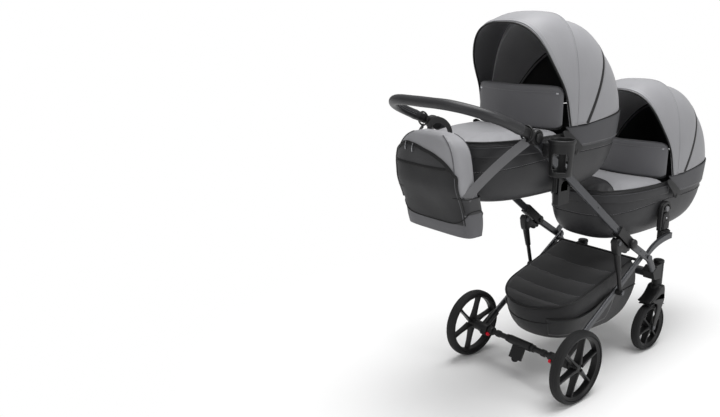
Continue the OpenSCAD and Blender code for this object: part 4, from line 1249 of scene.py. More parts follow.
    def build_hood(self) -> None:
        """Builds the three hood panels with their linings, then their trims, the band and the brackets."""
        heart = (0, self.pivot[0] + 40, self.pivot[1] + 120)
        front = self.gore(465.0, 198.6, (88.0, 112.0), 7.0, 11, 4.5)
        # The front panel's lining is the grey lining with painted shade.
        self.panel("hood_front_panel", front, heart, HOOD_GREY, 2.0, LINING_SHADED_GREY, "hood_front",
                   ["hood_front"])
        mid = self.gore(437.5, 194.8, (53.0, 89.5), 13.0, 23)
        lip = self.gore(459.5, 195.2, (89.4, 89.5), 0.0, 23)[-1:]
        mid = np.concatenate([mid, lip])
        self.panel("hood_middle_panel", mid, heart, HOOD_GREY, 1.8, LINING_GREY, "hood_mid", ["hood_mid"])
        rear = self.rear_gore()
        self.panel("hood_rear_panel", rear, heart, HOOD_GREY, 2.6, LINING_BLACK, "cot", ["hood_base"])
        self.build_front_trims(front, np.array(heart))
        self.build_hood_zip(mid)
        turn_middle = np.array([0, 53.5, 1022.8])
        out = unit(rear[0] - turn_middle)
        self.trim("hood_bow", rear[1] - out * 6.5, round_profile(3.5, 8), out, STRAP_GREY)
        self.build_band()
        self.build_corners()

    def build_front_trims(self, front: Array, heart: Array) -> None:
        """Builds the piping, stitches, hem, rolled edge and hanging tab of the front panel.

        Args:
            front: Points of the front panel.
            heart: Point inside the hood.
        """
        pivot = np.array([0, *self.pivot])
        self.trim("hood_piping", front[-1], round_profile(3.4, 10), (0, 1, 0.1), PIPING_BLACK, "hood_front")
        out = unit(front[1] - pivot)
        self.sew("hood_front_stitching", front[1] + out * 0.4, out, 8, "hood_front")
        hem = pivot + (front[-3] - pivot) * 1.004
        self.trim("hood_hem", hem, flat_profile(15, 3.6), unit(hem - heart), HOOD_GREY, "hood_front")
        out = unit(front[0] - pivot)
        self.trim("hood_roll", front[0] - out * 0.8, round_profile(2.0, 10), out, HOOD_GREY, "hood_front")
        tab = front[1:9, 36]
        inward = -unit(tab - pivot)
        self.trim("hood_tab", evenly(tab + inward * 4.4, 12), flat_profile(24, 2.0), inward[0], PIPING_BLACK,
                  "hood_front")

    def build_hood_zip(self, mid: Array) -> None:
        """Lays the zip flat on the middle panel, between rows that follow a sine across it.

        Args:
            mid: Points of the middle panel.
        """
        at = 0.7 + 1.9 * np.sin(np.pi * np.linspace(0, 1, 73))
        row, part, col = at.astype(int), (at % 1)[:, None], np.arange(73)
        tape = (1 - part) * mid[row, col] + part * mid[row + 1, col]
        along, across = np.gradient(mid[:25], axis=0), np.gradient(mid[:25], axis=1)
        out = unit(np.cross(along, across)[row, col])
        out *= np.sign(np.sum(out * (tape - np.array([0, *self.pivot])), 1))[:, None]
        self.trim("hood_zip", tape, flat_profile(16, 1.3), out, ZIP_BLACK, "hood_mid")
        self.trim("hood_zip_coil", tape, round_profile(0.75, 8), out, PIPING_BLACK, "hood_mid")

    def build_band(self) -> None:
        """Builds the dark band round the head end, with piping above and a hem below."""
        outline = ring(self.rear_half, self.half_l + 4, self.power, 1200)
        order = np.roll(outline, -np.argmin(outline[:, 1]), axis=0)
        h = np.linspace(0, 1, 13)
        start = self.band_front + 84 * (1 - h)
        way = np.array([evenly(order[order[:, 1] + self.middle > y0], 121) for y0 in start])
        y = way[..., 1] + self.middle
        h = h[:, None]
        z = (self.rim - 15) * (1 - h) + self.band_top(y) * h
        out = unit(way / np.array([self.rear_half, self.half_l]) ** 2)
        head = np.clip((y - 60) / 315, 0, 1) ** 2.1
        bulge = head * (15 * h ** 0.6 + 3) - 0.8
        grid = np.stack([way[..., 0] + out[..., 0] * bulge, y + out[..., 1] * bulge, z], -1)
        self.panel("hood_band", grid, (0, self.middle, self.rim), BAND_GREY, 2.6, LINING_BLACK)
        normal = np.concatenate([out, np.zeros_like(z)[..., None]], -1)
        for label, row, radius, finish in (("piping", -1, 2.4, PIPING_BLACK), ("hem", 0, 1.7, BAND_GREY)):
            line = grid[row] - normal[row] * (radius + 0.2)
            self.trim(f"band_{label}", line, round_profile(radius, 10), UP, finish)
        self.sew("band_stitching", grid[1] + normal[1] * 0.5, normal[1], 8)

    def build_corners(self) -> None:
        """Builds the black corner brackets that hold the hood's pivots at both sides."""
        outline = soften(np.array([(-94.0, 1013.0), (-66.0, 1015.0), (18.0, 956.0), (28.0, 941.0),
                                   (2.0, 928.0), (-22.0, 924.0), (-36.0, 950.0), (-90.0, 998.0)]), 3)
        dome = [(0, 3.0), (7, 2.6), (9.5, 1.2), (10, 0), (0, 0)]
        for side in Side:
            bracket = plate(f"{self.name}_hood_bracket_{side.word}", outline, 199.6, 204.6, 2.0, side)
            bracket.data.transform(Matrix.Translation(Vector(self.shift) * MM))
            mould(bracket, self.body)
            cap = lathe(f"{self.name}_hood_pivot_{side.word}", dome,
                        self.at(side.value * 204.4, *self.pivot), (side.value, 0, 0), 28)
            mould(cap, self.body)

    def build_latches(self) -> None:
        """Builds the arch-shaped latches with their rail, inner arch, block and screw."""
        t = np.linspace(0, np.pi, 19)

        def arch(half: float, foot: float, spring: float) -> Array:
            """Upright outline with a half-round top."""
            top = np.column_stack([self.latch_y + half * np.cos(t), spring + half * np.sin(t)])
            return np.concatenate([top, [(self.latch_y - half, foot), (self.latch_y + half, foot)]])

        parts = (("arch", arch(37, 801, 884), 185.0, 197.4, 3.0),
                 ("inset", arch(25, 806, 850), 196.0, 206.4, 2.4),
                 ("block", arch(20, 806, 824), 204.0, 209.0, 2.0))
        line = evenly(arch(31.5, 804, 884)[:-1], 60)
        head = [(0, 1.8), (2.5, 1.6), (4, 0.6), (4.2, 0), (0, 0)]
        for side in Side:
            word, out = side.word, (side.value, 0, 0)
            path = np.column_stack([np.full(60, side.value * 199.6), line])
            self.trim(f"latch_rail_{word}", path, flat_profile(11, 7.6), out, PLASTIC_BLACK)
            for label, outline, low, high, edge in parts:
                item = plate(f"{self.name}_latch_{label}_{word}", evenly(outline, 60, True), low, high, edge,
                             side)
                item.data.transform(Matrix.Translation(Vector(self.shift) * MM))
                mould(item, self.body, [f"{self.name}_latches"] if label == "arch" else ())
            screw = lathe(f"{self.name}_latch_screw_{word}", head,
                          self.at(side.value * 206.2, self.latch_y, 852), out, 16)
            dress(screw, self.body, STEEL)

    def build(self) -> None:
        """Builds every piece of the cot."""
        self.build_shell()
        self.build_mattress()
        self.build_apron()
        self.build_flap()
        self.build_hood()
        self.build_latches()


@dataclass
class Handle:
    """Push handle with its wrapped grip, plastic sleeves and pivot covers."""

    pivot: tuple[float, float] = HANDLE_PIVOT
    arm_x: float = 234.4
    reach: float = 292.0
    corner: float = 160.0
    rise: float = 22.8
    grip_r: float = 17.0

    def path(self, start: float, count: int) -> Array:
        """Line of the handle: two arms, two quarter turns and the bar, in the sloping plane.

        Args:
            start: Distance from the pivots to where the line begins.
            count: Number of points.

        Returns:
            Points in mm.
        """
        arm = self.reach - self.corner
        turn = np.radians(np.linspace(0, 90, 40))
        x = self.arm_x - self.corner + self.corner * np.cos(turn)
        v = arm + self.corner * np.sin(turn)
        half = np.concatenate([[(self.arm_x, start)], np.column_stack([x, v])])
        line = np.concatenate([half, (half * np.array([-1, 1]))[::-1]])
        slope = math.radians(self.rise)
        flat = evenly(line, count)
        return np.column_stack([flat[:, 0], self.pivot[0] - flat[:, 1] * math.cos(slope),
                                self.pivot[1] + flat[:, 1] * math.sin(slope)])

    def build(self) -> None:
        """Builds the grip with its stitches, the sleeves, the pivot covers and the button caps."""
        slope = math.radians(self.rise)
        normal = np.array([0, math.sin(slope), math.cos(slope)])
        path = self.path(76, 220)
        run = np.linspace(0, 1, 220)
        end = np.minimum(run, 1 - run) * 220
        size = (1 + 0.012 * np.sin(run * 40) - 0.10 * np.exp(-end / 1.2)
                + 0.05 * np.exp(-((end - 5) / 2.2) ** 2))
        grip = sweep("handle_grip_cover", path, round_profile(self.grip_r, 28), normal, scale=size)
        dress(grip, "handle", GRIP_BLACK, ["handle_grip"])
        ahead = unit(np.gradient(path, axis=0))
        inner = np.cross(ahead, normal)
        for label, spread in (("upper", 0.18), ("lower", -0.18)):
            way = unit(inner * math.cos(spread) + normal * math.sin(spread))
            line = path + way * (self.grip_r * size + 0.1)[:, None]
            dress(stitches(f"grip_stitching_{label}", line[8:-8], way[8:-8], 7), "handle", THREAD)
        shell = [(15.5, 9.2), (19, 9.6), (24, 8.6), (25.8, 6), (26, 0), (25.8, -6), (24.4, -8.6),
                 (15.5, -8.8)]
        dome = [(0, 2.4), (8, 2.2), (12.5, 1.2), (14.6, -0.4), (14.8, -3), (0, -3)]
        run = np.linspace(0, 1, 27)
        size = 1 - 0.06 * (1 - run) ** 2 + 0.03 * np.exp(-((run - 0.93) / 0.05) ** 2)
        for side in Side:
            s, word, out = side.value, side.word, (side.value, 0, 0)
            line = self.path(27, 400)[:27] * np.array([s, 1, 1])
            mould(sweep(f"handle_sleeve_{word}", line, round_profile(16.6, 28), normal, scale=size), "handle")
            mould(lathe(f"handle_pivot_cover_{word}", shell, (s * self.arm_x, *self.pivot), out, 64, True),
                  "handle")
            cap = lathe(f"handle_button_cap_{word}", dome, (s * (self.arm_x + 14.4), *self.pivot), out, 40)
            mould(cap, f"button_{word}", [f"handle_button_{word}"])


@dataclass
class ChangingBag:
    """Changing bag hung on the handle, with its zips, pockets and straps."""

    half_w: float = 148.0
    depth: float = 98.0
    middle: tuple[float, float] = (15.0, -497.0)
    low: float = 705.0
    high: float = 1036.0
    power: float = 4.5
    sections: tuple[tuple[float, float, float, float], ...] = (
        (0.0, 49, 0.86, 0.96), (0.03, 47, 0.92, 0.99), (0.16, 42, 1.0, 1.0), (0.30, 30, 1.02, 1.0),
        (0.50, 0, 1.0, 1.0), (0.70, -7, 0.98, 0.98), (0.84, -8, 0.97, 0.90), (0.93, -8, 0.88, 0.74),
        (0.98, -8, 0.68, 0.54), (1.0, -8, 0.40, 0.34))

    def section(self, h: Array) -> Array:
        """Shape of the bag at height shares, as a mean of the sections just above and below.

        Args:
            h: Height shares.

        Returns:
            Shift of the middle, depth share and width share, as a last axis of three.
        """
        table = np.array(self.sections)
        spread = np.linspace(-0.05, 0.05, 7)
        h = np.asarray(h)[..., None]
        near = np.clip(h + spread * np.minimum(1, (1 - h) * 8), 0, 1)
        return np.stack([np.interp(near, table[:, 0], table[:, k]).mean(-1) for k in (1, 2, 3)], -1)

    def skin(self, h: Array, around: Array, grow: float = 0.0) -> Array:
        """Points of the bag at height shares and angles round it, with slack folds low down.

        Args:
            h: Height shares.
            around: Angles in radians; a quarter turn back is the rear face.
            grow: Distance outside the skin.

        Returns:
            Points of the same shape, with three more.
        """
        h, around = np.broadcast_arrays(h, around)
        part = self.section(h)
        flat = superellipse(1.0, 1.0, self.power, around)
        sag = 1 + 0.03 * np.sin(np.pi * np.clip(h / 0.55, 0, 1)) * (np.abs(flat[..., 0]) < 0.95)
        x = self.middle[0] + flat[..., 0] * (self.half_w * part[..., 2] + grow)
        y = self.middle[1] + part[..., 0] + flat[..., 1] * (self.depth / 2 * part[..., 1] * sag + grow)
        z = self.low + (self.high - self.low) * h + grow * np.clip((h - 0.9) * 10, 0, 1)
        point = np.stack([x, y, z], -1)
        slack = ripple(point, 120, 31) * np.sin(np.pi * np.clip(h, 0, 1))
        point[..., 1] += 1.6 * slack * flat[..., 1]
        return point

    def angle_of(self, x: Array, h: Array) -> Array:
        """Angle on the rear face at which the skin has a given x.

        Args:
            x: Places across the bag in mm.
            h: Height shares.

        Returns:
            Angles in radians.
        """
        share = np.clip((x - self.middle[0]) / (self.half_w * self.section(h)[..., 2]), -0.9999, 0.9999)
        return -np.arccos(np.sign(share) * np.abs(share) ** (self.power / 2))

    def build_body(self) -> None:
        """Builds the bag's skin, its base and the dark panel on the rear face."""
        size = np.array([self.half_w, self.depth / 2])
        even = ring(*size, self.power, 96) / size
        even = np.sign(even) * np.abs(even) ** (self.power / 2)
        around = np.arctan2(even[:, 1], even[:, 0])
        crown = 0.8 + 0.2 * np.sin(np.linspace(0.05, 1, 26) * np.pi / 2)
        h = np.concatenate([np.linspace(0, 0.8, 41), crown])
        grid = self.skin(h[:, None], around[None])
        body = surface("bag_skin", grid, wrap_cols=True, caps=True)
        divide(body)
        dress(body, "bag", BAG_GREY, ["bag_body"])
        self.build_panel()
        low_h = np.linspace(0.002, 1, 12)[:, None]
        side_bias = np.abs(np.cos(around))[None] ** 3
        top = 0.13 + 0.14 * side_bias
        base = surface("bag_base_panel", self.skin(low_h * top, around[None], 1.4), wrap_cols=True,
                       inside=(15, -450, 760))
        thicken(base, 1.2)
        dress(base, "bag", BAG_BASE)
        edge = self.skin(top[0], around, 2.4)
        dress(sweep("bag_base_piping", edge, round_profile(1.6, 8), UP, True), "bag", PIPING_BLACK)

    def build_panel(self) -> None:
        """Builds the dark rear panel inside the arched zip, the zips and their pullers."""
        t = np.linspace(-1, 1, 61)
        half = self.half_w - 12
        spots = self.middle[0] + t * half
        arch = np.interp(spots, [-128, -120, -104, -79, -20, 60, 110, 138, 153, 160],
                         [930, 965, 988, 997, 991, 973, 951, 925, 899, 868])
        arch = np.convolve(np.pad(arch, 3, mode="edge"), np.ones(7) / 7, mode="valid")
        crown = (arch - self.low) / (self.high - self.low)
        fold = 0.675 + 0.012 * t ** 2
        fold = np.minimum(fold, crown)
        seams = {"lower": (np.full(61, 0.13), fold), "upper": (fold, crown)}
        grids = {}
        for label, (low, high) in seams.items():
            h = low[None] + (high - low)[None] * np.linspace(0, 1, 30)[:, None]
            part = self.section(h)
            x = self.middle[0] + t[None] * np.minimum(half, self.half_w * part[..., 2] - 9)
            grids[label] = self.skin(h, self.angle_of(x, h), 1.6)
            panel = surface(f"bag_rear_panel_{label}", grids[label], inside=(15, -450, 860))
            thicken(panel, 1.4)
            dress(panel, "bag", BAG_BLACK if label == "lower" else BAG_DARK)
        low, high = grids["lower"], grids["upper"]
        rim = np.concatenate([low[8:, 0], high[1:, 0], high[-1, 1:-1], high[:0:-1, -1], low[:7:-1, -1]])
        rim = evenly(rim, 160)
        out = np.array([0.0, -1.0, 0.25])
        pocket = evenly(low[-1, 2:-2] + np.array([0, -1.6, 0]), 60)
        for label, line, profile in (("main", rim + out, flat_profile(11, 3.4)),
                                     ("pocket", pocket, flat_profile(9, 3.0))):
            dress(sweep(f"bag_{label}_zip", line, profile, out), "bag", ZIP_BLACK)
        for label, spot in (("left", -62.0), ("right", -26.0)):
            k = int(np.argmin(np.abs(rim[:, 0] - spot)))
            start = rim[k] + np.array([0, -3.5, 0])
            line = start + np.array([[0, 0, 3.0], [0, -2.5, -4], [0, -3.5, -12], [0, -3, -22]])
            pull = sweep(f"bag_zip_puller_{label}", evenly(line, 16), flat_profile(6, 2.2), (1, 0, 0.05))
            dress(pull, "bag", STEEL)

    def build_sides(self) -> None:
        """Builds the side pockets and the seams of the gusset."""
        for side in Side:
            mid = 0.0 if side is Side.RIGHT else math.pi
            spread = np.radians(np.linspace(-58, 58, 25))[None]
            h = np.linspace(0.24, 0.41, 20)[:, None] + 0.0 * spread
            grow = 2.2 + 9 * np.clip((h - 0.24) / 0.17, 0, 1) ** 2 * np.cos(spread * 1.5)
            pocket = surface(f"bag_side_pocket_{side.word}", self.skin(h, mid + spread, 0)
                             + np.array([side.value, 0, 0]) * grow[..., None], inside=(15, -455, 800))
            thicken(pocket, 1.6)
            dress(pocket, "bag", BAG_DARK)
            top = self.skin(h[-1], mid + spread[0], 0) + np.array([side.value, 0, 0]) * grow[-1][:, None]
            dress(sweep(f"bag_pocket_binding_{side.word}", top, round_profile(2.2, 8), UP), "bag",
                  PIPING_BLACK)
        for label, turn in (("front", 40.0), ("rear", -40.0)):
            h = np.linspace(0.03, 0.985, 90)
            for side in Side:
                angle = math.radians(turn if side is Side.RIGHT else 180 - turn)
                line = self.skin(h, np.full(90, angle), 1.0)
                seam = sweep(f"bag_seam_{label}_{side.word}", line, round_profile(1.5, 8),
                             (side.value, 0, 0.1))
                dress(seam, "bag", BAG_BASE)

    def build_straps(self) -> None:
        """Builds the hooks, the two carrying straps and the grab loop on top."""
        ring_r, wire, x, y, z = 24.0, 3.2, 234.4, -320.0, 1057.47
        low = z - 2 * ring_r
        t = np.linspace(0, 2 * np.pi, 48, endpoint=False)
        straps = {Side.RIGHT: (30, STRAP_GREY, (self.middle[0] + self.half_w + 5, -497, 858)),
                  Side.LEFT: (22, STRAP_BLACK, (-150, -496, 905))}
        for side, (wide, finish, foot) in straps.items():
            s = side.value
            loop = np.column_stack([s * x + ring_r * np.cos(t), np.full(48, y),
                                    z - ring_r + ring_r * np.sin(t)])
            hook = sweep(f"bag_hook_{side.word}", loop, round_profile(wire, 10), (0, 1, 0), True)
            dress(hook, "bag", PLASTIC_BLACK, ["bag_straps"] if side is Side.RIGHT else ())
            path = bezier([(s * x, y + 2, low - 1), (s * x, y - 10, low - 8), (s * (x - 36), -410, 950), foot,
                           (foot[0] - 2 * s, foot[1] - 12, foot[2] - 18)], 60)
            strap = sweep(f"bag_strap_{side.word}", path, flat_profile(wide, 2.6), (s * 0.9, -0.35, 0.25))
            dress(strap, "bag", finish)
        top = self.skin(np.array([0.985, 0.985]), np.array([np.pi / 2, np.pi / 2]), 0)[0]
        grab = bezier([(-38, top[1], 1026), (-44, top[1], 1062), (0, top[1] + 4, 1086), (60, top[1], 1062),
                       (56, top[1], 1026)], 40)
        dress(sweep("bag_grab_loop", grab, flat_profile(20, 3.0), (0, 1, 0.001)), "bag",
              STRAP_BLACK)

    def build(self) -> None:
        """Builds every piece of the bag."""
        self.build_body()
        self.build_sides()
        self.build_straps()


@dataclass
class Basket:
    """Shopping basket of black cloth with a quilted lid."""

    rear: float = -8.0
    rod: tuple[float, float] = (466.0, 434.8)
    half_w: float = 166.0
    slope: float = 0.273
    bottom: float = 174.0
    sag: float = 58.0
    toe: float = 96.0
    front: float = 459.6

    def lid_z(self, y: Array) -> Array:
        """Height of the lid's plane."""
        return self.rod[1] + self.slope * (y - self.rod[0])

    def half(self, y: Array) -> Array:
        """Half width at a length: a slight taper times a rounded rear end.

        Args:
            y: Places along the pram in mm.

        Returns:
            Half widths in mm.
        """
        back = np.clip((y - self.rear) / 165, 0, 1)
        taper = 0.93 + 0.07 * (y - self.rear) / (self.rod[0] - self.rear)
        return self.half_w * taper * np.sqrt(np.maximum(0, 1 - (1 - back) ** 2.2))

    def outline(self, count: int) -> Array:
        """Line of the rim from the front left corner round the rear to the front right.

        Args:
            count: Number of points, evenly spaced.

        Returns:
            Points as x and y.
        """
        y = self.rear + 0.3 + (self.front - self.rear - 0.3) * (1 - np.sin(np.linspace(0, np.pi / 2, 400)))
        half = self.half(y)
        half[-1] = 0
        left = np.column_stack([-half, y])
        right = np.column_stack([half, y])[::-1]
        return evenly(np.concatenate([left, right[1:]]), count)

    def outward(self, x: Array, y: Array) -> Array:
        """Direction out of the wall, seen from above."""
        return unit(np.stack([x / self.half_w, (y - 190) / 260], -1))

    def wall(self, drop: Array, line: Array, grow: float = 0.0) -> Array:
        """Points of the cloth wall: the lid's outline, drawn in and down to the floor, bulging in front.

        Args:
            drop: Depth share, 0 at the lid and 1 at the floor.
            line: Outline as x and y.
            grow: Distance outside the wall.

        Returns:
            Points of the broadcast shape, with three more.
        """
        drop, x, y = np.broadcast_arrays(np.asarray(drop, float), line[:, 0], line[:, 1])
        floor = drop ** 2
        front = np.clip((y - 250) / (self.rod[0] - 250), 0, None)
        push = (self.sag * np.sin(np.pi * np.clip(drop, 0, 1) ** 0.8) - self.toe * drop ** 14) * front
        shift = (54 - 0.08 * y) * floor * np.clip((240 - y) / 240, 0, None)
        z = (self.lid_z(y) - 5) * (1 - drop) + self.bottom * drop
        way = self.outward(x, y)
        point = np.stack([x * (1 - 0.16 * floor) + way[..., 0] * grow,
                          y + shift + push + way[..., 1] * grow, z], -1)
        fold = ripple(point * np.array([1, 1, 0.6]), 90, 41) * np.sin(np.pi * np.clip(drop, 0, 1))
        point[..., 0] += 2.2 * fold * way[..., 0]
        point[..., 1] += 2.2 * fold * way[..., 1]
        return point

    def build_tub(self) -> None:
        """Builds the cloth tub, the seam round its wall and the side pockets."""
        line = self.outline(121)
        front = np.column_stack([np.linspace(line[-1, 0], line[0, 0], 32)[1:-1], np.full(30, self.front)])
        full = np.concatenate([line, front])
        drop = np.sin(np.linspace(0, 1.4, 44))[:, None] * 1.0147
        skin = self.wall(drop, full)
        centre = np.array([0, 250.0, self.bottom])
        share = np.linspace(0.9, 0.0, 6)[:, None, None]
        floor = (skin[-1][None] - centre) * share + centre + np.array([0, 0, -3.0]) * (1 - share)
        tub = surface("basket_cloth_tub", np.concatenate([skin, floor]), wrap_cols=True, inside=(0, 230, 300))
        thicken(tub, 2.0)
        dress(tub, "chassis", BASKET_BLACK, ["basket_tub"])
        seam = self.wall(0.46, line, 1.0)
        dress(sweep("basket_wall_piping", seam, round_profile(2.6, 8), UP), "chassis", PIPING_BLACK)
        for side in Side:
            part = line[12:50] if side is Side.LEFT else line[-50:-12]
            h = np.linspace(0, 1, 16)[:, None]
            run = np.linspace(0, 1, 38)[None]
            sag = 0.30 + 0.14 * np.sin(np.pi * run)
            depth = sag + (0.9 - sag) * h
            grow = 0.8 + (2.2 + 12 * (1 - h) ** 2) * np.sin(np.pi * run) ** 0.7
            grid = self.wall(depth, part, 0)
            grid[..., :2] += self.outward(part[:, 0], part[:, 1])[None] * grow[..., None]
            pocket = surface(f"basket_side_pocket_{side.word}", grid, inside=(0, 230, 300))
            thicken(pocket, 1.6)
            dress(pocket, "chassis", BASKET_BLACK)
            dress(sweep(f"basket_pocket_elastic_{side.word}", grid[0], round_profile(2.4, 8), UP),
                  "chassis", PIPING_BLACK)

    def build_lid(self) -> None:
        """Builds the quilted lid: sewn lines across it, padding swelling between them."""
        rows, cols = 81, 41
        u = np.linspace(0, 1, rows)
        y = self.rear + 1.5 + (self.front - self.rear - 1.5) * u ** 1.3
        v = np.linspace(-1, 1, cols)
        half = np.maximum(3, self.half(y) + 3)
        x = half[:, None] * v[None]
        lines = np.array([0.0, 0.22, 0.41, 0.60, 0.79, 1.0])
        bend = u[:, None] + 0.035 * (1 - v[None] ** 2) * np.sin(np.pi * u)[:, None]
        near = np.abs(bend[..., None] - lines).min(-1)
        edge = np.minimum(1, (1 - np.abs(v)) * 14)[None]
        crown = np.clip(near / 0.07, 0, 1) ** 0.6 * edge
        z = self.lid_z(y)[:, None] + 1.5 + 5.5 * crown
        yy = np.broadcast_to(y[:, None], x.shape)
        top = np.stack([x, yy, z], -1)
        under = np.stack([x, yy, np.broadcast_to(self.lid_z(y)[:, None] - 3.6, x.shape)], -1)
        both = np.concatenate([top, under[:, ::-1]], 1)
        lid = surface("basket_quilted_lid", both, wrap_cols=True, caps=True)
        held = np.concatenate([np.where(crown < 0.35, 1.0, 0.0), np.ones_like(crown)], 1).ravel()
        puff(lid, 4.0, 4.0, held[:len(lid.data.vertices)], 10)
        dress(lid, "basket_lid", BASKET_BLACK, ["basket_lid"])
        for k, level in enumerate(lines[1:-1]):
            at = np.array([np.interp(level, bend[:, c], np.arange(rows)) for c in range(1, cols - 1)])
            pick = np.clip(at.round().astype(int), 0, rows - 1)
            seam = top[pick, np.arange(1, cols - 1)]
            seam[:, 2] = self.lid_z(seam[:, 1]) + 2.6
            dress(stitches(f"basket_lid_stitching_{k}", evenly(seam, 60), UP, 7), "basket_lid", THREAD)
        line = self.outline(160)
        scale = (self.half(line[:, 1]) + 4.5) / np.maximum(self.half(line[:, 1]), 1)
        edge = np.column_stack([line[:, 0] * np.clip(scale, 1, 1.2), line[:, 1],
                                self.lid_z(line[:, 1]) - 0.5])
        edge[np.abs(edge[:, 0]) < 60, 1] -= 3.5
        dress(sweep("basket_lid_piping", evenly(edge, 160), round_profile(4.2, 12), UP), "basket_lid",
              PIPING_BLACK)

    def build(self) -> None:
        """Builds the tub and the lid."""
        self.build_tub()
        self.build_lid()


@dataclass
class Wheel:
    """A wheel with a ribbed foam tyre and six deep spokes, turning about X."""

    name: str
    body: str
    centre: tuple[float, float, float]
    radius: float
    width: float
    hub: tuple[float, float, float]
    side: Side
    spokes: int = 6
    tyre_depth: float = 15.0
    rim_depth: float = 13.0

    def build_tyre(self) -> None:
        """Turns the tyre's section: a rounded crown with shallow grooves and stepped side walls."""
        t = np.linspace(-np.pi / 2, np.pi / 2, 61)
        section = superellipse(self.tyre_depth, self.width / 2, 2.6, t)
        groove = sum(np.exp(-((section[:, 1] - k * self.width) / 0.9) ** 2)
                     for k in (-0.30, -0.12, 0.12, 0.30))
        wall = np.exp(-((np.abs(section[:, 1]) - 0.47 * self.width) / 1.2) ** 2)
        radius = self.radius - self.tyre_depth + section[:, 0] - 1.1 * groove - 0.8 * wall
        profile = np.column_stack([radius, section[:, 1]])
        tyre = lathe(f"{self.name}_tyre_ribbed", profile, self.centre, ALONG_X, 120, True)
        dress(tyre, self.body, TYRE_BLACK, [self.name.replace("wheel", "tyre")])

    def build_rim(self) -> None:
        """Builds the rim's ring, the spokes and the hub with its cap."""
        outer = self.radius - self.tyre_depth - 0.2
        inner, half = outer - self.rim_depth, self.width / 2
        profile = [(outer, -half + 4), (outer, half - 4), (outer - 3, half - 2.5), (outer - 5, half - 3),
                   (outer - 7, half - 6), (inner, half - 9), (inner - 0.6, 0), (inner, -half + 9),
                   (outer - 7, -half + 6), (outer - 5, -half + 3), (outer - 3, -half + 2.5)]
        band = lathe(f"{self.name}_rim_ring", profile, self.centre, ALONG_X, 96, True)
        dress(band, self.body, RIM_BLACK, [self.name.replace("wheel", "rim")])
        hub_r, low, high = self.hub
        s = self.side.value
        hub = lathe(f"{self.name}_hub", [(0, high + 2), (hub_r * 0.5, high + 1.6), (hub_r * 0.75, high),
                                         (hub_r * 0.8, high - 2), (hub_r, high - 5), (hub_r, low + 2),
                                         (hub_r - 2, low), (0, low)], self.centre, (s, 0, 0), 48)
        dress(hub, self.body, RIM_BLACK)
        run = np.linspace(0, 1, 16)
        reach = hub_r - 3 + (inner + 3 - hub_r + 3) * run
        wide = 13.0 - 4.5 * np.sin(np.pi * run * 0.9)
        deep = 13.0 + 0.10 * (1 - run) * self.width - 2.0 * np.sin(np.pi * run)
        shape = superellipse(1, 1, 5, np.linspace(0, 2 * np.pi, 24, endpoint=False))
        for k in range(self.spokes):
            turn = 2 * math.pi * (k + 0.25) / self.spokes
            out = np.array([0, math.cos(turn), math.sin(turn)])
            side = np.array([0, -math.sin(turn), math.cos(turn)])
            mid = s * (1.5 - 3.5 * run)
            grid = (np.array(self.centre) + reach[:, None, None] * out
                    + shape[None, :, :1] * wide[:, None, None] / 2 * side
                    + (mid[:, None] + shape[None, :, 1] * deep[:, None])[..., None] * np.array(ALONG_X))
            spoke = surface(f"{self.name}_spoke_{k}", grid, wrap_cols=True, caps=True)
            dress(spoke, self.body, RIM_BLACK)

    def build(self) -> None:
        """Builds the tyre and the rim."""
        self.build_tyre()
        self.build_rim()


@dataclass
class Fork:
    """Swivelling fork with a broad mudguard over its wheel."""

    side: Side
    wheel: tuple[float, float, float] = FRONT_WHEEL
    half_w: float = 30.0
    leg_t: float = 7.6
    guard_r: float = 119.0

    def build(self) -> None:
        """Builds the block over the wheel, the two legs, the mudguard, the crown and the bolts."""
        s, body, word = self.side.value, f"swivel_{self.side.word}", self.side.word
        x, y, z = self.wheel
        place, outer, inner = np.array([y, z]), x + self.half_w, x - self.half_w
        block = soften(np.array([(66, 108), (66, 138), (62, 168), (56, 182), (24, 182), (12, 164), (-12, 140),
                                 (-50, 125), (-48, 117), (-30, 117), (0, 121), (34, 116)], float)) + place
        mould(plate(f"fork_block_{word}", block, inner, outer, 7, self.side), body, [f"fork_{word}"])
        leg = soften(np.array([(-12, -2), (-8, -13), (8, -13), (14, -2), (30, 42), (48, 80), (64, 112),
                               (63, 138), (40, 150), (0, 134), (-28, 124), (-14, 114), (10, 106), (14, 88),
                               (2, 44)], float)) + place
        for label, low, high in (("outer", outer - self.leg_t, outer), ("inner", inner, inner + self.leg_t)):
            mould(plate(f"fork_leg_{label}_{word}", leg, low, high, 2.6, self.side), body)
        turn = np.radians(np.linspace(-34, 20, 32))[:, None]
        v = np.linspace(-1, 1, 21)[None]
        reach = self.guard_r - 5 * np.abs(v) ** 3
        narrow = 1 - 0.16 * np.clip(np.degrees(turn) / 28, 0, 1) ** 3
        grid = np.stack([s * (x + 29.5 * v * narrow), y - reach * np.sin(turn), z + reach * np.cos(turn)], -1)
        guard = surface(f"fork_mudguard_{word}", grid, inside=(s * x, y, z))
        thicken(guard, 4.0)
        mould(guard, body)
        bell = [(0, 150), (29, 150), (28, 166), (25, 176), (21.5, 181.4), (0, 181.4)]
        mould(lathe(f"fork_crown_{word}", bell, (s * x, y + FORK_TRAIL, z), UP, 48), body)
        head = [(0, 4), (3.2, 3.8), (4.2, 2.6), (7.6, 2.2), (8.4, 0), (0, 0)]
        for label, way in (("outer", s), ("inner", -s)):
            bolt = lathe(f"fork_bolt_{label}_{word}", head, (s * x + way * 29.6, y, z), (way, 0, 0), 28)
            dress(bolt, body, BOLT_DARK)


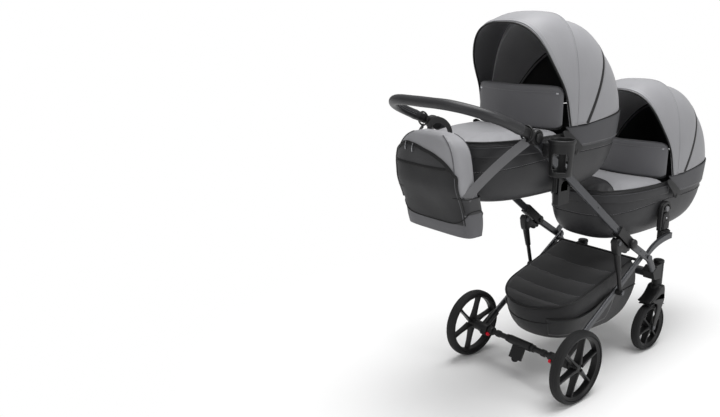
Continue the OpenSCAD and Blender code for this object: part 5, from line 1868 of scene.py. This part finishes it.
@dataclass
class CupHolder:
    """Round cup holder with windows in its wall, clamped to the right-hand tube."""

    centre: tuple[float, float] = (287.5, -212.0)
    rim: float = 1008.0
    radius: float = 40.5
    depth: float = 115.5

    def build(self) -> None:
        """Builds the wall with its windows, the thick rim, the floor and the clamp."""
        count, rows = 96, 30
        t = np.linspace(0, 2 * np.pi, count, endpoint=False)
        h = np.linspace(0, 1, rows)[:, None]
        taper = 0.86 + 0.14 * h ** 0.7
        x, y = self.centre
        grid = np.stack([x + self.radius * taper * np.cos(t), y + self.radius * taper * np.sin(t),
                         self.rim - self.depth * (1 - h) + 0 * t], -1)
        i, j, corners = lattice(rows, count, False, True)
        phase = np.abs((j % 32) - 15.5) / 11.0
        tall = np.abs(i - 11) / 8.0
        solid = (phase ** 4 + tall ** 4) > 1
        mesh = bpy.data.meshes.new("cup_holder_wall")
        mesh.from_pydata((grid.reshape(-1, 3) * MM).tolist(), [], corners[solid].tolist())
        wall = to_item("cup_holder_wall", mesh, (x, y, self.rim - 50), 60)
        thicken(wall, 3.4)
        mould(wall, "upper_frame", ["cup_holder"])
        lip = [(37, 0), (38.5, 2.2), (41, 2.2), (43, 0), (43, -8), (41.5, -10.5), (38, -10), (37, -6)]
        mould(lathe("cup_holder_rim", lip, (x, y, self.rim), UP, 72, True), "upper_frame")
        dish = [(0, -113), (30, -113), (35, -110), (35.6, -107), (34, -110.5), (0, -111)]
        mould(lathe("cup_holder_floor", dish, (x, y, self.rim), UP, 72), "upper_frame")
        share = (y - FOLD_HINGE[0]) / (HANDLE_PIVOT[0] - FOLD_HINGE[0])
        tube_z = FOLD_HINGE[1] + (HANDLE_PIVOT[1] - FOLD_HINGE[1]) * share
        outline = np.array([(-17, -26), (17, -26), (17, 30), (-17, 30)]) + np.array([y, tube_z])
        mould(plate("cup_holder_clamp", soften(outline), TUBE_FACE, 250, 3), "upper_frame")


@dataclass
class Chassis:
    """Tubes, joints and small fittings of the frame."""

    housing_top: float = 392.0
    edge_mm: float = 1.2
    weld_mm: float = 0.02

    def dress_solids(self, nodes: dict[str, Item]) -> None:
        """Gives the solids that stay their materials.

        Args:
            nodes: Solids by name.
        """
        finishes = {
            TUBE_GRAPHITE: ("front_tubes", "upper_tubes", "rear_legs", "cot_arms"),
            PLASTIC_BLACK: ("hinge_brackets", "hinge_pins", "swivel_housings", "brace_sleeves", "brace_rods",
                            "axle_castings", "lower_adapters", "upper_adapters", "brake_pedal", "fork_left",
                            "fork_right", "fold_brackets", "handle_hubs"),
            METAL_BLACK: ("rear_axle", "basket_rod", "handle_bar"),
            BOLT_DARK: ("frame_bolts",),
            PLASTIC_RED: ("wheel_release_left", "wheel_release_right"),
            PLASTIC_GREY: ("upper_release_left", "upper_release_right", "lower_release_left",
                           "lower_release_right"),
        }
        for finish, names in finishes.items():
            for name in names:
                item = nodes[name]
                item.data.materials.clear()
                item.data.materials.append(finish.material())
                LOG.info("%s keeps its solid in %s", name, finish.name)

    def build_rivets(self) -> None:
        """Sets rivets along the outer faces of the side tubes."""
        start = np.array(FOLD_HINGE)
        for body, end, spots in (("upper_frame", HANDLE_PIVOT, (128, 300)),
                                 ("chassis", FRONT_BEND, (48, 92, 140))):
            flat = start + unit(np.array(end) - start) * np.array(spots, float)[:, None]
            for side in Side:
                centres = np.column_stack([np.full(len(flat), side.value * TUBE_FACE), flat])
                rivets = beads(f"{body}_rivets_{side.word}", centres, UP, (side.value, 0, 0), (3.6, 3.6, 1.4))
                dress(rivets, body, METAL_BLACK)

    def build_collars(self) -> None:
        """Puts the moulded collars on the rear axle."""
        bore = 11.2
        for side in Side:
            for k, (spot, radius, half) in enumerate(((62, 15, 7), (112, 14, 10), (150, 17, 12))):
                edge = np.array([(bore, half), (radius - 3, half), (radius - 1, half - 0.8),
                                 (radius, half - 2.5)])
                profile = np.concatenate([edge, (edge * np.array([1, -1]))[::-1]])
                mould(lathe(f"axle_collar_{side.word}_{k}", profile, (side.value * spot, *REAR_WHEEL[1:]),
                            ALONG_X, 40, True), "chassis")

    def build_castings(self) -> None:
        """Builds the knuckles over the tops of the braces, the knobs on the fold pins and the foot bar."""
        outline = soften(np.array([(243, 556), (246, 570), (258, 576), (270, 568), (292, 550), (316, 530),
                                   (326, 516), (318, 503), (300, 508), (284, 520), (280, 508), (268, 503),
                                   (255, 508), (247, 530)], float), 2)
        low, high = 202.6, 231.4
        dome = [(0, 14), (12, 13.4), (17, 11.6), (19, 8.5), (19.5, 4), (19, 0.4), (0, 0.4)]
        for side in Side:
            knuckle = plate(f"brace_knuckle_{side.word}", evenly(outline, 90, True), low, high, 5.0, side)
            mould(knuckle, "chassis")
            s = side.value
            mould(lathe(f"fold_knob_{side.word}", dome, (s * high, *FOLD_HINGE), (s, 0, 0), 48), "chassis")
        path = np.column_stack([np.linspace(-172, 172, 24), np.full(24, 607.0), np.full(24, 341.0)])
        bar = sweep("front_foot_bar", path, flat_profile(50, 26), UP)
        dress(bar, "chassis", TUBE_GRAPHITE, ["front_cross_bar"])

    def build_caps(self) -> None:
        """Closes the tops of the swivel housings with domed caps."""
        dome = [(0, 4.5), (14, 4.2), (19, 3.2), (21.6, 1.2), (22.4, -2), (22.4, -9), (0, -9)]
        x, y, _ = FRONT_WHEEL
        for side in Side:
            place = (side.value * x, y + FORK_TRAIL, self.housing_top)
            mould(lathe(f"swivel_cap_{side.word}", dome, place, UP, 48), "chassis")

    def round_edges(self, nodes: dict[str, Item]) -> None:
        """Rounds the sharp edges of the moulded solids that stay.

        Args:
            nodes: Solids by name.
        """
        for name in ("hinge_brackets", "fold_brackets", "swivel_housings", "axle_castings", "brake_pedal",
                     "lower_adapters", "upper_adapters", "handle_hubs"):
            weld = nodes[name].modifiers.new("weld", "WELD")
            weld.merge_threshold = self.weld_mm * MM
            bevel = nodes[name].modifiers.new("round", "BEVEL")
            bevel.width, bevel.segments, bevel.limit_method = self.edge_mm * MM, 2, "ANGLE"
            bevel.angle_limit = math.radians(38)

    def build(self, nodes: dict[str, Item]) -> None:
        """Dresses the frame.

        Args:
            nodes: Solids by name.
        """
        self.dress_solids(nodes)
        self.build_rivets()
        self.build_collars()
        self.build_caps()
        self.build_castings()
        self.round_edges(nodes)


def wheels() -> list[Wheel]:
    """Lists the four wheels with their places and sizes.

    Returns:
        Wheels of the left side, then of the right.
    """
    sizes = {"rear": (REAR_WHEEL, 41, (19, -25.5, 12)), "front": (FRONT_WHEEL, 38, (15, -21, 21))}
    found = []
    for side in Side:
        for end, ((x, y, z), width, hub) in sizes.items():
            name = f"{end}_wheel_{side.word}"
            found.append(Wheel(name, name, (side.value * x, y, z), z, width, hub, side))
    return found


def main() -> None:
    """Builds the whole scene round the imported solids."""
    logging.basicConfig(level=logging.INFO, format="%(message)s")
    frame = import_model()
    Studio().build()
    Chassis().build(frame["nodes"])
    for wheel in wheels():
        wheel.build()
    for side in Side:
        Fork(side).build()
    Carrycot("upper", (0.0, 0.0, 0.0)).build()
    # Only the lower cot gets the dark sheet of painted shadow, cast by the cot above.
    Carrycot("lower", (0.0, 710.0, -270.0), foot_panel=True).build()
    Handle().build()
    ChangingBag().build()
    Basket().build()
    CupHolder().build()
    bpy.context.view_layer.update()


if __name__ == "__main__":
    main()
